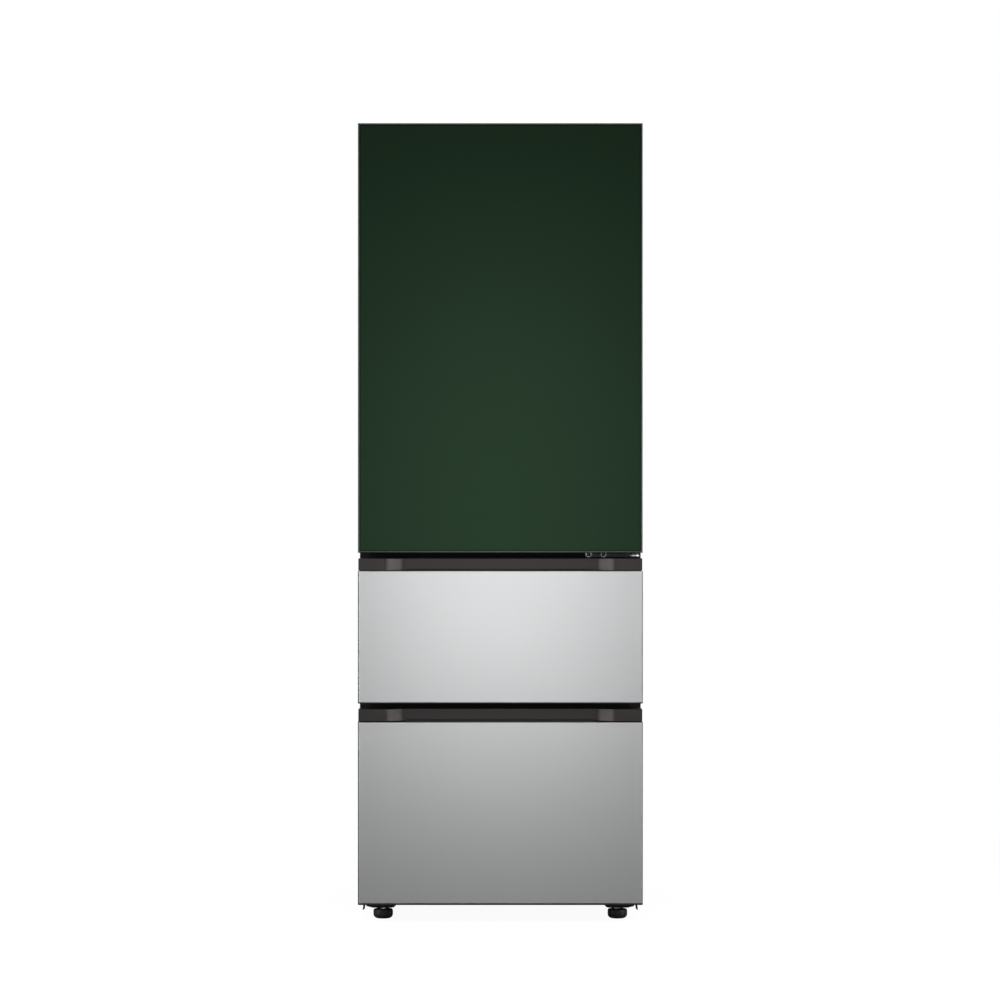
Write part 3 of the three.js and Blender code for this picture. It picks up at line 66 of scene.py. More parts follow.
bl_info = {
    "name": "Kimchi refrigerator",
    "version": (1, 0, 0),
    "blender": (4, 5, 0),
    "location": "3D View > Sidebar > Refrigerator",
    "description": "A glass door over two steel drawers, with rooms, baskets, containers and machinery",
    "category": "Object",
}

MM = 0.001
X, Y, Z = 0, 1, 2
SIDES = (("left", -1), ("right", 1))
DRAWERS = ("middle", "lower")


def mm(*lengths):
    """Millimetres as metres."""
    return tuple(length * MM for length in lengths)


# What a user would change


def length_property(label, words, value, least, most):
    """A length with its limits, given in millimetres."""
    return bpy.props.FloatProperty(
        name=label, description=words, default=value * MM, min=least * MM, max=most * MM, unit="LENGTH",
        subtype="DISTANCE")


class RefrigeratorSizes(bpy.types.PropertyGroup):
    """Sizes of the edges and small parts that the frame leaves open."""

    steel_bend: length_property("Steel bend", "Radius of the drawer fronts' folded edges", 1.2, 0.5, 4)
    glass_arris: length_property("Glass arris", "Width of the ground edge of the door glass", 0.7, 0.2, 1.5)
    trim_round: length_property("Trim round", "Radius of the outer edge of the metal trim", 2.4, 0.4, 3.4)
    # The drawer fronts' dark edge is painted shade: a dark frame standing in for the dark line of shade at the
    # fronts' bent edges.
    front_edge: length_property("Front edge", "Width of the dark edge round the drawer fronts", 2.2, 0.8, 4)
    # The glass's dark border is painted shade: it stands for the shadow line between the glass and its trim.
    glass_shade_border: length_property("Dark border", "Width of the dark line round the back of the glass", 2.6, 0, 10)
    grip_edge: length_property("Grip edge", "Radius of the grip moulding's edges", 0.8, 0.2, 1.4)
    room_corner: length_property("Room corner", "Radius of the moulded corners inside the rooms", 12, 4, 20)
    container_corner: length_property("Container corner", "Radius of the containers' upright corners", 20, 10, 40)
    screw_head: length_property("Screw head", "Radius of the screw heads", 4.2, 3, 6)
    knob_ribs: bpy.props.IntProperty(
        name="Knob ribs", description="Grip ribs round each levelling foot", default=24, min=12, max=36,
        subtype="UNSIGNED")


def colour_property(label, words, value):
    return bpy.props.FloatVectorProperty(
        name=label, description=words, default=value, min=0.0, max=1.0, size=3, subtype="COLOR")


class RefrigeratorColours(bpy.types.PropertyGroup):
    """Colours of the finishes, linear."""

    green_glass: colour_property("Door glass", "Back coat of the door glass", (0.0157, 0.0345, 0.0185))
    front_steel: colour_property("Drawer steel", "Satin steel of the drawer fronts", (0.545, 0.551, 0.556))
    trim_metal: colour_property("Door trim", "Metal trim round the door glass", (0.095, 0.106, 0.099))
    grip_bronze: colour_property("Grips", "Dark metallic paint of the grips", (0.053, 0.0485, 0.0475))
    cabinet_graphite: colour_property("Cabinet", "Paint of the cabinet's sides and top", (0.036, 0.038, 0.040))
    zinc_steel: colour_property("Zinc", "Zinc-coated steel", (0.50, 0.51, 0.52))
    liner_white: colour_property("Rooms", "Moulded plastic inside the rooms", (0.80, 0.81, 0.81))
    seal_rubber: colour_property("Seals", "Door and drawer seals", (0.055, 0.056, 0.060))
    rail_steel: colour_property("Rails", "Bright steel of the telescopic rails", (0.66, 0.67, 0.68))
    clear_plastic: colour_property("Baskets", "Tint of the clear baskets", (0.90, 0.93, 0.94))
    shelf_glass: colour_property("Shelves", "Tint of the shelf glass", (0.84, 0.93, 0.90))
    container_body: colour_property("Containers", "Body of the kimchi containers", (0.66, 0.67, 0.65))
    container_lid: colour_property("Lids", "Lids of the kimchi containers", (0.27, 0.29, 0.30))
    black_plastic: colour_property("Black plastic", "Feet, rollers, fans and bushes", (0.018, 0.018, 0.019))
    black_paint: colour_property("Black paint", "Base and compressor", (0.012, 0.012, 0.0125))
    fin_aluminium: colour_property("Fins", "Aluminium fins of the coils", (0.60, 0.61, 0.62))
    lamp_lens: colour_property("Lamp", "Opal lens of the room lamp", (0.90, 0.90, 0.86))
    foam: colour_property("Foam", "Insulation", (0.74, 0.66, 0.39))


def sizes():
    """The sizes set in the panel."""
    return bpy.context.scene.refrigerator_sizes


def colours():
    return bpy.context.scene.refrigerator_colours


# Finishes


class Reading:
    """An output socket. Arithmetic on it adds Math nodes."""

    def __init__(self, finish, socket):
        self.finish, self.socket = finish, socket

    def math(self, operation, *terms, clamp=False):
        settings = {"operation": operation, "use_clamp": clamp}
        return self.finish.node("ShaderNodeMath", settings, dict(enumerate(terms)))

    def __rsub__(self, other):
        return self.math("SUBTRACT", other, self)

    def __abs__(self):
        return self.math("ABSOLUTE", self)

    def clipped(self):
        """Kept between 0 and 1."""
        return self.math("ADD", self, 0.0, clamp=True)


for method, operation in (
    ("__add__", "ADD"), ("__radd__", "ADD"), ("__sub__", "SUBTRACT"), ("__mul__", "MULTIPLY"),
    ("__rmul__", "MULTIPLY"), ("__truediv__", "DIVIDE"), ("__gt__", "GREATER_THAN"), ("larger", "MAXIMUM"),
):
    setattr(Reading, method, lambda self, other, operation=operation: self.math(operation, self, other))


class Finish:
    """The nodes of a material or of the world, written as expressions."""

    def __init__(self, owner):
        owner.use_nodes = True
        self.owner, self.tree = owner, owner.node_tree
        self.tree.nodes.clear()

    def node(self, kind, settings=None, values=None, output=0):
        made = self.tree.nodes.new(kind)
        for name, value in (settings or {}).items():
            setattr(made, name, value)
        for name, value in (values or {}).items():
            if isinstance(value, Reading):
                self.tree.links.new(value.socket, made.inputs[name])
            else:
                made.inputs[name].default_value = value
        return Reading(self, made.outputs[output])

    def place(self, stretch=(1, 1, 1)):
        spot = self.node("ShaderNodeTexCoord", output="Object")
        return self.node("ShaderNodeMapping", {}, {"Vector": spot, "Scale": stretch})

    def axis(self, name):
        return self.node("ShaderNodeSeparateXYZ", {}, {"Vector": self.place()}, name)

    def noise(self, scale, detail=2.0, stretch=(1, 1, 1)):
        values = {"Vector": self.place(stretch), "Scale": scale, "Detail": detail}
        return self.node("ShaderNodeTexNoise", {}, values)

    def cells(self, scale, output="Distance"):
        return self.node("ShaderNodeTexVoronoi", {}, {"Vector": self.place(), "Scale": scale}, output)

    def grey(self, colour):
        return self.node("ShaderNodeRGBToBW", {}, {"Color": colour})

    def mix(self, share, low, high):
        values = {0: share, 6: opaque(low), 7: opaque(high)}
        return self.node("ShaderNodeMix", {"data_type": "RGBA"}, values, 2)

    def drifting(self, colour, spread, scale=3.0, stretch=(1, 1, 1)):
        """A colour that is a little darker here and lighter there."""
        low, high = ([min(1.0, part * (1 + way * spread)) for part in colour] for way in (-1, 1))
        return self.mix(self.noise(scale, 3.0, stretch), low, high)

    def bumped(self, height, depth, strength=0.5):
        values = {"Strength": strength, "Distance": depth, "Height": height}
        return self.node("ShaderNodeBump", {}, values)

    def surface(self, colour, roughness, normal=None, **constants):
        values = {"Base Color": opaque(colour), "Roughness": roughness}
        if normal:
            values["Normal"] = normal
        values |= {name.replace("_", " "): value for name, value in constants.items()}
        return self.shown(self.node("ShaderNodeBsdfPrincipled", {}, values))

    def shown(self, shader, output="ShaderNodeOutputMaterial"):
        """Put a shader on the surface."""
        made = self.tree.nodes.new(output)
        self.tree.links.new(shader.socket, made.inputs["Surface"])
        return self.owner


def opaque(colour):
    if isinstance(colour, Reading):
        return colour
    return (*tuple(colour)[:3], 1.0)


def times(colour, share):
    """The colour, darker or lighter."""
    return [part * share for part in colour]


def green_glass(look, colour):
    """Satin glass over a dark green back coat, with a darker band round its edge that is painted shade: it stands for
    the shadow line between the glass and its trim.
    """
    low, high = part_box("door_glass")
    border = sizes().glass_shade_border
    beyond_side = abs(look.axis("X")) - (high.x - border)
    beyond_end = abs(look.axis("Z") - (low.z + high.z) / 2) - ((high.z - low.z) / 2 - border)
    # Painted shade: a darker band round the pane's edge, in place of the shadow line at the trim.
    edge = beyond_side.larger(beyond_end) > 0.0
    coat = look.drifting(colour, 0.04, 2.0)
    tone = look.mix(edge, coat, times(colour, 0.6))
    satin = look.noise(2400)
    return look.surface(
        tone, 0.39 + 0.04 * satin, look.bumped(satin, 0.004 * MM, 0.3), Metallic=0.75, Specular_IOR_Level=0.08)


def front_steel(look, colour):
    """Fine horizontal hairlines, as on satin steel."""
    hairline = look.noise(1.0, 5.0, (5, 5, 2300))
    cloud = look.noise(4.0)
    tone = look.mix(hairline, times(colour, 0.96), times(colour, 1.03))
    return look.surface(
        tone, 0.38 + 0.05 * hairline + 0.02 * cloud, look.bumped(hairline, 0.01 * MM, 0.25), Metallic=1.0)


def trim_metal(look, colour):
    """Drawn aluminium, anodised grey."""
    grain = look.noise(1.0, 4.0, (900, 900, 900))
    return look.surface(
        look.drifting(colour, 0.05, 12.0), 0.40 + 0.08 * grain, look.bumped(grain, 0.01 * MM, 0.2), Metallic=1.0)


def grip_bronze(look, colour):
    """Metallic paint with a fine flake."""
    flake = look.cells(1500)
    tone = look.mix(flake, times(colour, 1.12), times(colour, 0.9))
    return look.surface(
        tone, 0.46 + 0.06 * flake, look.bumped(look.noise(420), 0.01 * MM, 0.25), Metallic=1.0)


def cabinet_graphite(look, colour):
    """Powder paint on sheet steel, with an orange peel."""
    peel = look.noise(650, 3.0)
    return look.surface(
        look.drifting(colour, 0.06, 2.5), 0.42 + 0.06 * look.noise(9, 3.0), look.bumped(peel, 0.03 * MM, 0.35),
        Metallic=0.35)


def zinc_steel(look, colour):
    """Zinc coat with its crystal flowers."""
    flower = look.grey(look.cells(85, "Color"))
    streak = look.noise(1.0, 3.0, (18, 18, 160))
    tone = look.mix(flower, times(colour, 0.92), times(colour, 1.05))
    return look.surface(
        tone, 0.36 + 0.11 * flower + 0.06 * streak, look.bumped(flower, 0.01 * MM, 0.25), Metallic=0.9)


def liner_white(look, colour):
    """Vacuum-formed plastic."""
    texture = look.noise(900)
    return look.surface(
        look.drifting(colour, 0.015, 1.6), 0.36 + 0.08 * look.noise(5.0), look.bumped(texture, 0.02 * MM, 0.2))


def seal_rubber(look, colour):
    """Soft extruded rubber with a little dust in its bloom."""
    bloom = look.noise(70, 4.0)
    return look.surface(
        look.drifting(colour, 0.12, 35.0), 0.55 + 0.15 * bloom, look.bumped(bloom, 0.05 * MM, 0.3))


def rail_steel(look, colour):
    """Cold-rolled steel with draw lines along its length and a film of grease."""
    line = look.noise(1.0, 4.0, (1500, 6, 1500))
    smear = look.noise(26, 3.0)
    return look.surface(
        look.drifting(colour, 0.05, 15.0), 0.20 + 0.1 * line + 0.08 * smear, look.bumped(line, 0.01 * MM, 0.3),
        Metallic=1.0)


def clear_plastic(look, colour):
    """Clear injection-moulded plastic."""
    flow = look.noise(7.0)
    return look.surface(
        colour, 0.06 + 0.06 * flow, look.bumped(flow, 0.1 * MM, 0.15), IOR=1.49, Transmission_Weight=0.92)


def shelf_glass(look, colour):
    """Toughened glass, faintly uneven from its rollers."""
    wave = look.noise(1.0, 1.0, (30, 4, 4))
    return look.surface(
        colour, 0.015 + 0.02 * wave, look.bumped(wave, 0.03 * MM, 0.1), IOR=1.52, Transmission_Weight=0.95)


def container_body(look, colour):
    """Matt polypropylene, slightly cloudy."""
    grain = look.noise(1400)
    return look.surface(
        look.drifting(colour, 0.03, 9.0), 0.40 + 0.08 * look.noise(30), look.bumped(grain, 0.02 * MM, 0.3))


def container_lid(look, colour):
    """Spark-textured polypropylene."""
    spark = look.cells(1100)
    return look.surface(
        look.drifting(colour, 0.05, 14.0), 0.46 + 0.1 * spark, look.bumped(spark, 0.05 * MM, 0.35))


def black_plastic(look, colour):
    """Moulded nylon with a fine texture and pale scuffs."""
    spark = look.cells(900)
    scuff = (look.noise(60, 5.0) - 0.62).larger(0.0) * 2.0
    tone = look.mix(scuff.clipped(), colour, times(colour, 3.0))
    return look.surface(tone, 0.42 + 0.14 * spark, look.bumped(spark, 0.05 * MM, 0.4))


def black_paint(look, colour):
    """Dipped paint, a little dusty."""
    dust = look.noise(34, 5.0)
    return look.surface(
        look.drifting(colour, 0.2, 20.0), 0.36 + 0.22 * dust, look.bumped(look.noise(300), 0.04 * MM, 0.4))


def painted_shade_black(look, colour):
    """Flat black paint, used here as painted shade in dark gaps and along dark edges."""
    return look.surface(
        look.drifting(colour, 0.15, 20.0), 0.6, look.bumped(look.noise(300), 0.03 * MM, 0.3),
        Specular_IOR_Level=0.12)


def fin_aluminium(look, colour):
    """Thin bare aluminium, dulled here and there."""
    dull = look.noise(45, 4.0)
    return look.surface(
        look.drifting(colour, 0.1, 30.0), 0.28 + 0.2 * dull, look.bumped(dull, 0.05 * MM, 0.3), Metallic=1.0)


def lamp_lens(look, colour):
    """Opal diffuser."""
    frost = look.noise(1200)
    return look.surface(
        look.drifting(colour, 0.02, 6.0), 0.30 + 0.1 * frost, look.bumped(frost, 0.02 * MM, 0.3),
        Transmission_Weight=0.25, Emission_Color=(1.0, 0.98, 0.92, 1.0), Emission_Strength=0.12)


def foam(look, colour):
    """Rigid foam with open cells."""
    cell = look.cells(700)
    return look.surface(look.drifting(colour, 0.1, 40.0), 0.85 + 0.1 * cell, look.bumped(cell, 0.4 * MM, 0.6))


def screw_steel(look, colour):
    """Plated screw steel with wear on its crests."""
    wear = look.noise(500, 3.0)
    return look.surface(
        look.drifting(colour, 0.15, 200.0), 0.25 + 0.2 * wear, look.bumped(wear, 0.02 * MM, 0.3), Metallic=1.0)


def smoked_window(look, colour):
    """Polished black acrylic."""
    haze = look.noise(14, 3.0)
    return look.surface(look.drifting(colour, 0.1, 8.0), 0.05 + 0.05 * haze, Coat_Weight=0.5)


SLOTS = {
    recipe.__name__: recipe
    for recipe in (
        green_glass, front_steel, trim_metal, grip_bronze, cabinet_graphite, zinc_steel, liner_white,
        seal_rubber, rail_steel, clear_plastic, shelf_glass, container_body, container_lid, black_plastic,
        black_paint, fin_aluminium, lamp_lens, foam,
    )
}
EXTRAS = {
    # Painted highlight: the feet's nuts are near-white metal, brighter than zinc, so that they shine like a glint
    # though they sit in shade.
    "foot_nut": (rail_steel, (0.97, 0.97, 0.98)),
    # The three dark finishes below are painted shade: they darken crossbars, flange and drawer edges where the gaps
    # lie in shade.
    "channel_black": (painted_shade_black, (0.0035, 0.0035, 0.004)),
    "flange_black": (painted_shade_black, (0.009, 0.009, 0.0095)),
    "front_edge": (painted_shade_black, (0.022, 0.023, 0.023)),
    "hinge_black": (black_paint, (0.012, 0.012, 0.013)),
    "black_screw": (screw_steel, (0.045, 0.045, 0.047)),
    "bright_screw": (screw_steel, (0.55, 0.55, 0.54)),
    "smoked_window": (smoked_window, (0.008, 0.008, 0.009)),
}


def finish(name):
    """The material of that finish, made once."""
    made = bpy.data.materials.get("finish_" + name)
    if made:
        return made
    look = Finish(bpy.data.materials.new("finish_" + name))
    if name in SLOTS:
        return SLOTS[name](look, tuple(getattr(colours(), name)))
    recipe, colour = EXTRAS[name]
    return recipe(look, colour)


# Modelling by hand, in code


def alone(ob):
    bpy.ops.object.select_all(action="DESELECT")
    ob.select_set(True)
    bpy.context.view_layer.objects.active = ob


def settled(ob, name):
    """Put an added object's place, turn and size into its mesh."""
    ob.name = ob.data.name = name
    alone(ob)
    bpy.ops.object.transform_apply(location=True, rotation=True, scale=True)
    return ob


def slab(name, low, high):
    """A cube added at its size and place."""
    low, high = Vector(low), Vector(high)
    bpy.ops.mesh.primitive_cube_add(size=1, location=(low + high) / 2)
    ob = bpy.context.object
    ob.scale = high - low
    return settled(ob, name)


TURNS = {
    "+X": (0, math.pi / 2, 0), "+Y": (-math.pi / 2, 0, 0), "-Y": (math.pi / 2, 0, 0), "+Z": (0, 0, 0),
    "-Z": (math.pi, 0, 0),
}


def turned(name, rings, sides, centre=(0, 0, 0), way="+Z"):
    """A disc drawn out ring by ring, each a radius and a height, then set along an axis."""
    radius, height = rings[0]
    bpy.ops.mesh.primitive_circle_add(vertices=sides, radius=radius, location=(0, 0, height), fill_type="NGON")
    ob = settled(bpy.context.object, name)
    with shaping(ob):
        bpy.ops.mesh.select_all(action="SELECT")
        for next_radius, next_height in rings[1:]:
            drawn_out(next_height - height)
            grow = next_radius / radius
            bpy.ops.transform.resize(value=(grow, grow, 1), center_override=(0, 0, next_height))
            radius, height = next_radius, next_height
        outward()
    ob.rotation_euler = TURNS[way]
    ob.location = centre
    return settled(ob, name)


@contextmanager
def shaping(ob):
    """Edit mode on one object, with nothing selected."""
    alone(ob)
    bpy.ops.object.mode_set(mode="EDIT")
    bpy.ops.mesh.select_all(action="DESELECT")
    yield
    bpy.ops.object.mode_set(mode="OBJECT")


def outward():
    bpy.ops.mesh.select_all(action="SELECT")
    bpy.ops.mesh.normals_make_consistent(inside=False)


def drawn_out(rise):
    """In edit mode, extrude the selection and lift it."""
    bpy.ops.mesh.extrude_region_move(TRANSFORM_OT_translate={"value": (0, 0, rise)})


def pick(ob, kind, test):
    """In edit mode, select just the faces, edges or verts that pass a test."""
    bpy.ops.mesh.select_mode(type=kind)
    bpy.ops.mesh.select_all(action="DESELECT")
    mesh = bmesh.from_edit_mesh(ob.data)
    mesh.normal_update()
    for item in {"FACE": mesh.faces, "EDGE": mesh.edges, "VERT": mesh.verts}[kind]:
        item.select_set(bool(test(item)))
    mesh.select_flush_mode()
    bmesh.update_edit_mesh(ob.data)


def moved(ob, test, offset):
    """In edit mode, move the verts that pass a test."""
    pick(ob, "VERT", test)
    bpy.ops.transform.translate(value=offset)


def facing(*ways):
    aims = [Vector(way) for way in ways]
    return lambda face: any(face.normal.dot(aim) > 0.9 for aim in aims)


def centre_of(face):
    return face.calc_center_median()


def middle(edge):
    return (edge.verts[0].co + edge.verts[1].co) / 2


def rim_edge(edge):
    return edge.is_boundary


def inner_edge(edge):
    return not edge.is_boundary


def folded(edge, least=1.0):
    """Whether two faces meet at this edge in a bend of at least so many radians."""
    return len(edge.link_faces) == 2 and edge.calc_face_angle() > least


def runs(edge, axis):
    """Whether the edge lies along an axis."""
    step = edge.verts[1].co - edge.verts[0].co
    return step.length > 0 and abs(step[axis]) > 0.99 * step.length


def near(a, b):
    """Whether two places are the same, but for rounding."""
    return abs(a - b) < 0.05 * MM


def span(way, a, b):
    """Two places on one side of the middle, in rising order."""
    return sorted((way * a, way * b))


def slice_at(axis, *places):
    """In edit mode, cut the whole mesh across an axis, without parting it."""
    for place in places:
        spot, way = [0, 0, 0], [0, 0, 0]
        spot[axis], way[axis] = place, 1
        bpy.ops.mesh.select_all(action="SELECT")
        bpy.ops.mesh.bisect(plane_co=spot, plane_no=way)


def rounded(ob, radius, segments, test):
    """Round the edges that pass a test."""
    with shaping(ob):
        pick(ob, "EDGE", test)
        bpy.ops.mesh.bevel(offset=radius, segments=segments, affect="EDGES")


def without(ob, test):
    """Delete the faces that pass a test."""
    with shaping(ob):
        pick(ob, "FACE", test)
        bpy.ops.mesh.delete(type="FACE")


def plate(name, low, high, corner, segments, axis=Z):
    """A slab with the four edges rounded that run along an axis."""
    ob = slab(name, low, high)
    rounded(ob, corner, segments, lambda edge: runs(edge, axis))
    return ob


def stepped_in(ob, way, *steps):
    """Inset the face that looks one way, step by step: width and rise, in millimetres."""
    with shaping(ob):
        pick(ob, "FACE", facing(way))
        for width, rise in steps:
            bpy.ops.mesh.inset(thickness=width * MM, depth=rise * MM)


def open_box(name, low, high, corner, foot):
    """A box without a lid; corner and foot are each a radius and its segments."""
    ob = slab(name, low, high)
    without(ob, facing((0, 0, 1)))
    rounded(ob, *corner, lambda edge: runs(edge, Z))
    rounded(ob, *foot, lambda edge: near(middle(edge).z, low[Z]) and inner_edge(edge))
    return ob


def rimmed(ob, low, high, reach, rise):
    """Take an open box's rim outward by a reach, then up by a rise."""
    with shaping(ob):
        pick(ob, "EDGE", rim_edge)
        drawn_out(0)
        shrink(low, high, -reach)
        drawn_out(rise)


def two_looks(ob, first, second, test):
    """One finish on the whole piece, and a second one on the faces that pass a test."""
    for look in (first, second):
        ob.data.materials.append(finish(look))
    with shaping(ob):
        pick(ob, "FACE", test)
        ob.active_material_index = 1
        bpy.ops.object.material_slot_assign()


def modified(ob, kind, **settings):
    """Add a modifier and apply it."""
    alone(ob)
    modifier = ob.modifiers.new(kind.title(), kind)
    for name, value in settings.items():
        setattr(modifier, name, value)
    bpy.ops.object.modifier_apply(modifier=modifier.name)
    return ob


def shrink(low, high, width):
    """Draw the selection in by a width on every side of an upright box."""
    value = [1 - 2 * width / (high[axis] - low[axis]) for axis in (X, Y)]
    bpy.ops.transform.resize(value=(*value, 1), center_override=(Vector(low) + Vector(high)) / 2)


def walled(ob, thickness, offset=-1):
    """Give an open skin its wall: -1 inward, 1 outward."""
    return modified(ob, "SOLIDIFY", thickness=thickness, offset=offset, use_even_offset=True)


def cut_by(ob, cutter):
    modified(ob, "BOOLEAN", operation="DIFFERENCE", object=cutter, solver="EXACT")
    bpy.data.objects.remove(cutter)


def smoothed(ob, angle=38):
    alone(ob)
    bpy.ops.object.shade_smooth_by_angle(angle=math.radians(angle))
    return modified(ob, "WEIGHTED_NORMAL", keep_sharp=True, weight=60)


def softened(ob, width, segments=2, angle=30):
    """Round every sharp edge a little, then shade smooth."""
    modified(
        ob, "BEVEL", width=width, segments=segments, limit_method="ANGLE", angle_limit=math.radians(angle),
        use_clamp_overlap=True, miter_outer="MITER_ARC")
    return smoothed(ob)


def block(name, low, high, width, segments):
    return softened(slab(name, low, high), width, segments)


def joined(name, first, *others):
    """Several shapes as one piece."""
    alone(first)
    for other in others:
        other.select_set(True)
    if others:
        bpy.ops.object.join()
    first.name = first.data.name = name
    return first


def twin(ob, name, offset):
    """A copy with its own mesh, moved."""
    made = ob.copy()
    made.data = ob.data.copy()
    bpy.context.scene.collection.objects.link(made)
    made.location = offset
    return settled(made, name)


def repeated(ob, offsets):
    """The shape and its copies, moved by each offset, as one piece."""
    copies = [twin(ob, ob.name + "_copy", offset) for offset in offsets]
    name = ob.name
    bpy.data.objects.remove(ob)
    return joined(name, *copies)


def copy_of(node, name, whole=True):
    """A CAD node's shape as a clean mesh: merged, and with its flat faces whole where they may be."""
    source = frame["nodes"][node]
    ob = bpy.data.objects.new(name, source.data.copy())
    bpy.context.scene.collection.objects.link(ob)
    ob.data.materials.clear()
    with shaping(ob):
        bpy.ops.mesh.select_all(action="SELECT")
        bpy.ops.mesh.remove_doubles(threshold=0.002 * MM)
        bpy.ops.mesh.customdata_custom_splitnormals_clear()
        if whole:
            bpy.ops.mesh.dissolve_limited(angle_limit=math.radians(0.5))
    return ob


def fitted(ob, body, slot, *nodes, look=None):
    """Give a finished piece its finish and the body it rides on, and the CAD nodes it stands for."""
    if not ob.data.materials:
        ob.data.materials.append(finish(look or slot))
    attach(ob, body)
    if nodes:
        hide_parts(*nodes)


def painted(node, slot):
    """A CAD node that stays, in its own finish."""
    ob = frame["nodes"][node]
    for place in ob.material_slots:
        place.link = "OBJECT"
        place.material = finish(slot)


def body_with(node):
    """The body that a CAD node moves with."""
    return frame["nodes"][node]["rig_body"]


def dressed(node, name, slot, width, segments=2, whole=True):
    """A CAD shape with its edges rounded, in place of that node."""
    ob = softened(copy_of(node, name, whole), width, segments)
    fitted(ob, body_with(node), slot, node)


def screws(name, body, slot, places, way, look="bright_screw", radius=None):
    """Pan-head screws with a cross recess, driven at these places."""
    radius = radius or sizes().screw_head
    tall = 0.55 * radius
    rings = [(0.96, 0), (1, 0.25), (0.92, 0.62), (0.7, 0.88), (0.35, 1)]
    head = turned(name, [(share * radius, rise * tall) for share, rise in rings], 20)
    for a, b in ((0.55, 0.12), (0.12, 0.55)):
        cut_by(head, slab("recess", (-a * radius, -b * radius, 0.45 * tall), (a * radius, b * radius, 2 * tall)))
    head.rotation_euler = TURNS[way]
    smoothed(settled(head, name))
    fitted(repeated(head, places), body, slot, look=look)


# Pieces

SEAL_WIDTH = 15 * MM
SHEET = 1 * MM
ROOM_SKIN = 1.5 * MM
WALL_X = 281 * MM


def two_tone(ob, seal):
    """Cut a front's body under the middle of its seal, with the white liner inside and graphite outside."""
    low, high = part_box(seal)
    left, right = low.x + SEAL_WIDTH / 2, high.x - SEAL_WIDTH / 2
    foot, top = low.z + SEAL_WIDTH / 2, high.z - SEAL_WIDTH / 2
    with shaping(ob):
        slice_at(X, left, right)
        slice_at(Z, foot, top)

    def under_liner(face):
        spot = centre_of(face)
        return spot.y > low.y - 1.5 * MM and left < spot.x < right and foot < spot.z < top

    two_looks(ob, "cabinet_graphite", "liner_white", under_liner)


def seal_ring(node, body):
    """A magnetic seal: a ring with two waists round it."""
    low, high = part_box(node)
    ob = slab(node + "_ring", low, high)
    waist = -1.6 * MM
    folds = [low.y + share * (high.y - low.y) for share in (0.2, 0.36, 0.52, 0.68, 0.84)]
    with shaping(ob):
        pick(ob, "FACE", facing((0, 1, 0), (0, -1, 0)))
        bpy.ops.mesh.inset(thickness=SEAL_WIDTH, use_even_offset=True)
        bpy.ops.mesh.bridge_edge_loops()
        outward()
        slice_at(Y, *folds)
        for fold in (folds[1], folds[3]):
            pick(ob, "VERT", lambda vert, fold=fold: near(vert.co.y, fold))
            bpy.ops.transform.shrink_fatten(value=waist)
    fitted(softened(ob, 0.5 * MM, 2, 25), body, "seal_rubber", node)


class REFRIGERATOR_OT_door_face(bpy.types.Operator):
    """Make the glass pane and the metal trim round it"""

    bl_idname = "refrigerator.door_face"
    bl_label = "Door glass and trim"

    def execute(self, context):
        pane = plate("door_pane", *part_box("door_glass"), 1.2 * MM, 3, Y)
        fitted(softened(pane, sizes().glass_arris, 3), "door", "green_glass", "door_glass")

        low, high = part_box("door_trim")
        trim = copy_of("door_trim", "door_frame_trim", whole=False)

        def outer_front(edge):
            spot = middle(edge)
            return near(spot.y, low.y) and (
                near(abs(spot.x), high.x) or near(spot.z, low.z) or near(spot.z, high.z))

        rounded(trim, sizes().trim_round, 5, outer_front)
        fitted(softened(trim, 0.3 * MM, 2, 50), "door", "trim_metal", "door_trim")
        return {"FINISHED"}


class REFRIGERATOR_OT_door_body(bpy.types.Operator):
    """Make the foamed door body and its seal"""

    bl_idname = "refrigerator.door_body"
    bl_label = "Door body"

    def execute(self, context):
        body = copy_of("door_core", "door_body", whole=False)
        two_tone(body, "door_seal")
        fitted(softened(body, 1 * MM, 3), "door", "liner_white", "door_core")
        seal_ring("door_seal", "door")
        return {"FINISHED"}


class REFRIGERATOR_OT_door_baskets(bpy.types.Operator):
    """Make the two clear baskets on the door"""

    bl_idname = "refrigerator.door_baskets"
    bl_label = "Door baskets"

    def execute(self, context):
        ledge, lip, wall, corner, foot = mm(9, 1.5, 2.2, 12, 5)
        ear_inset, ear_low, ear_high = mm(12, 11.7, 6.7)
        rib_inset, rib_width, rib_depth = mm(30, 4, 0.4)
        for level in ("lower", "upper"):
            node = level + "_door_basket"
            low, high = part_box(node)
            sides = (low.x + ledge, low.y, low.z), (high.x - ledge, high.y, high.z - lip)
            tub = open_box(node + "_tub", *sides, (corner, 6), (foot, 4))
            rimmed(tub, *sides, -lip, lip)
            walled(tub, wall)
            details = []
            for _, way in SIDES:
                x0, x1 = span(way, high.x - ledge - 1 * MM, high.x)
                details.append(block(
                    "ear", (x0, low.y + ear_inset, high.z - ear_low), (x1, high.y - ear_inset, high.z - ear_high),
                    1.2 * MM, 3))
            for rise in mm(22, 40, 58):
                details.append(slab(
                    "rib", (low.x + ledge + rib_inset, high.y - rib_depth, low.z + rise),
                    (high.x - ledge - rib_inset, high.y, low.z + rise + rib_width)))
            softened(tub, 0.5 * MM, 2)
            fitted(joined(node + "_bin", tub, *details), body_with(node), "clear_plastic", node)
        return {"FINISHED"}


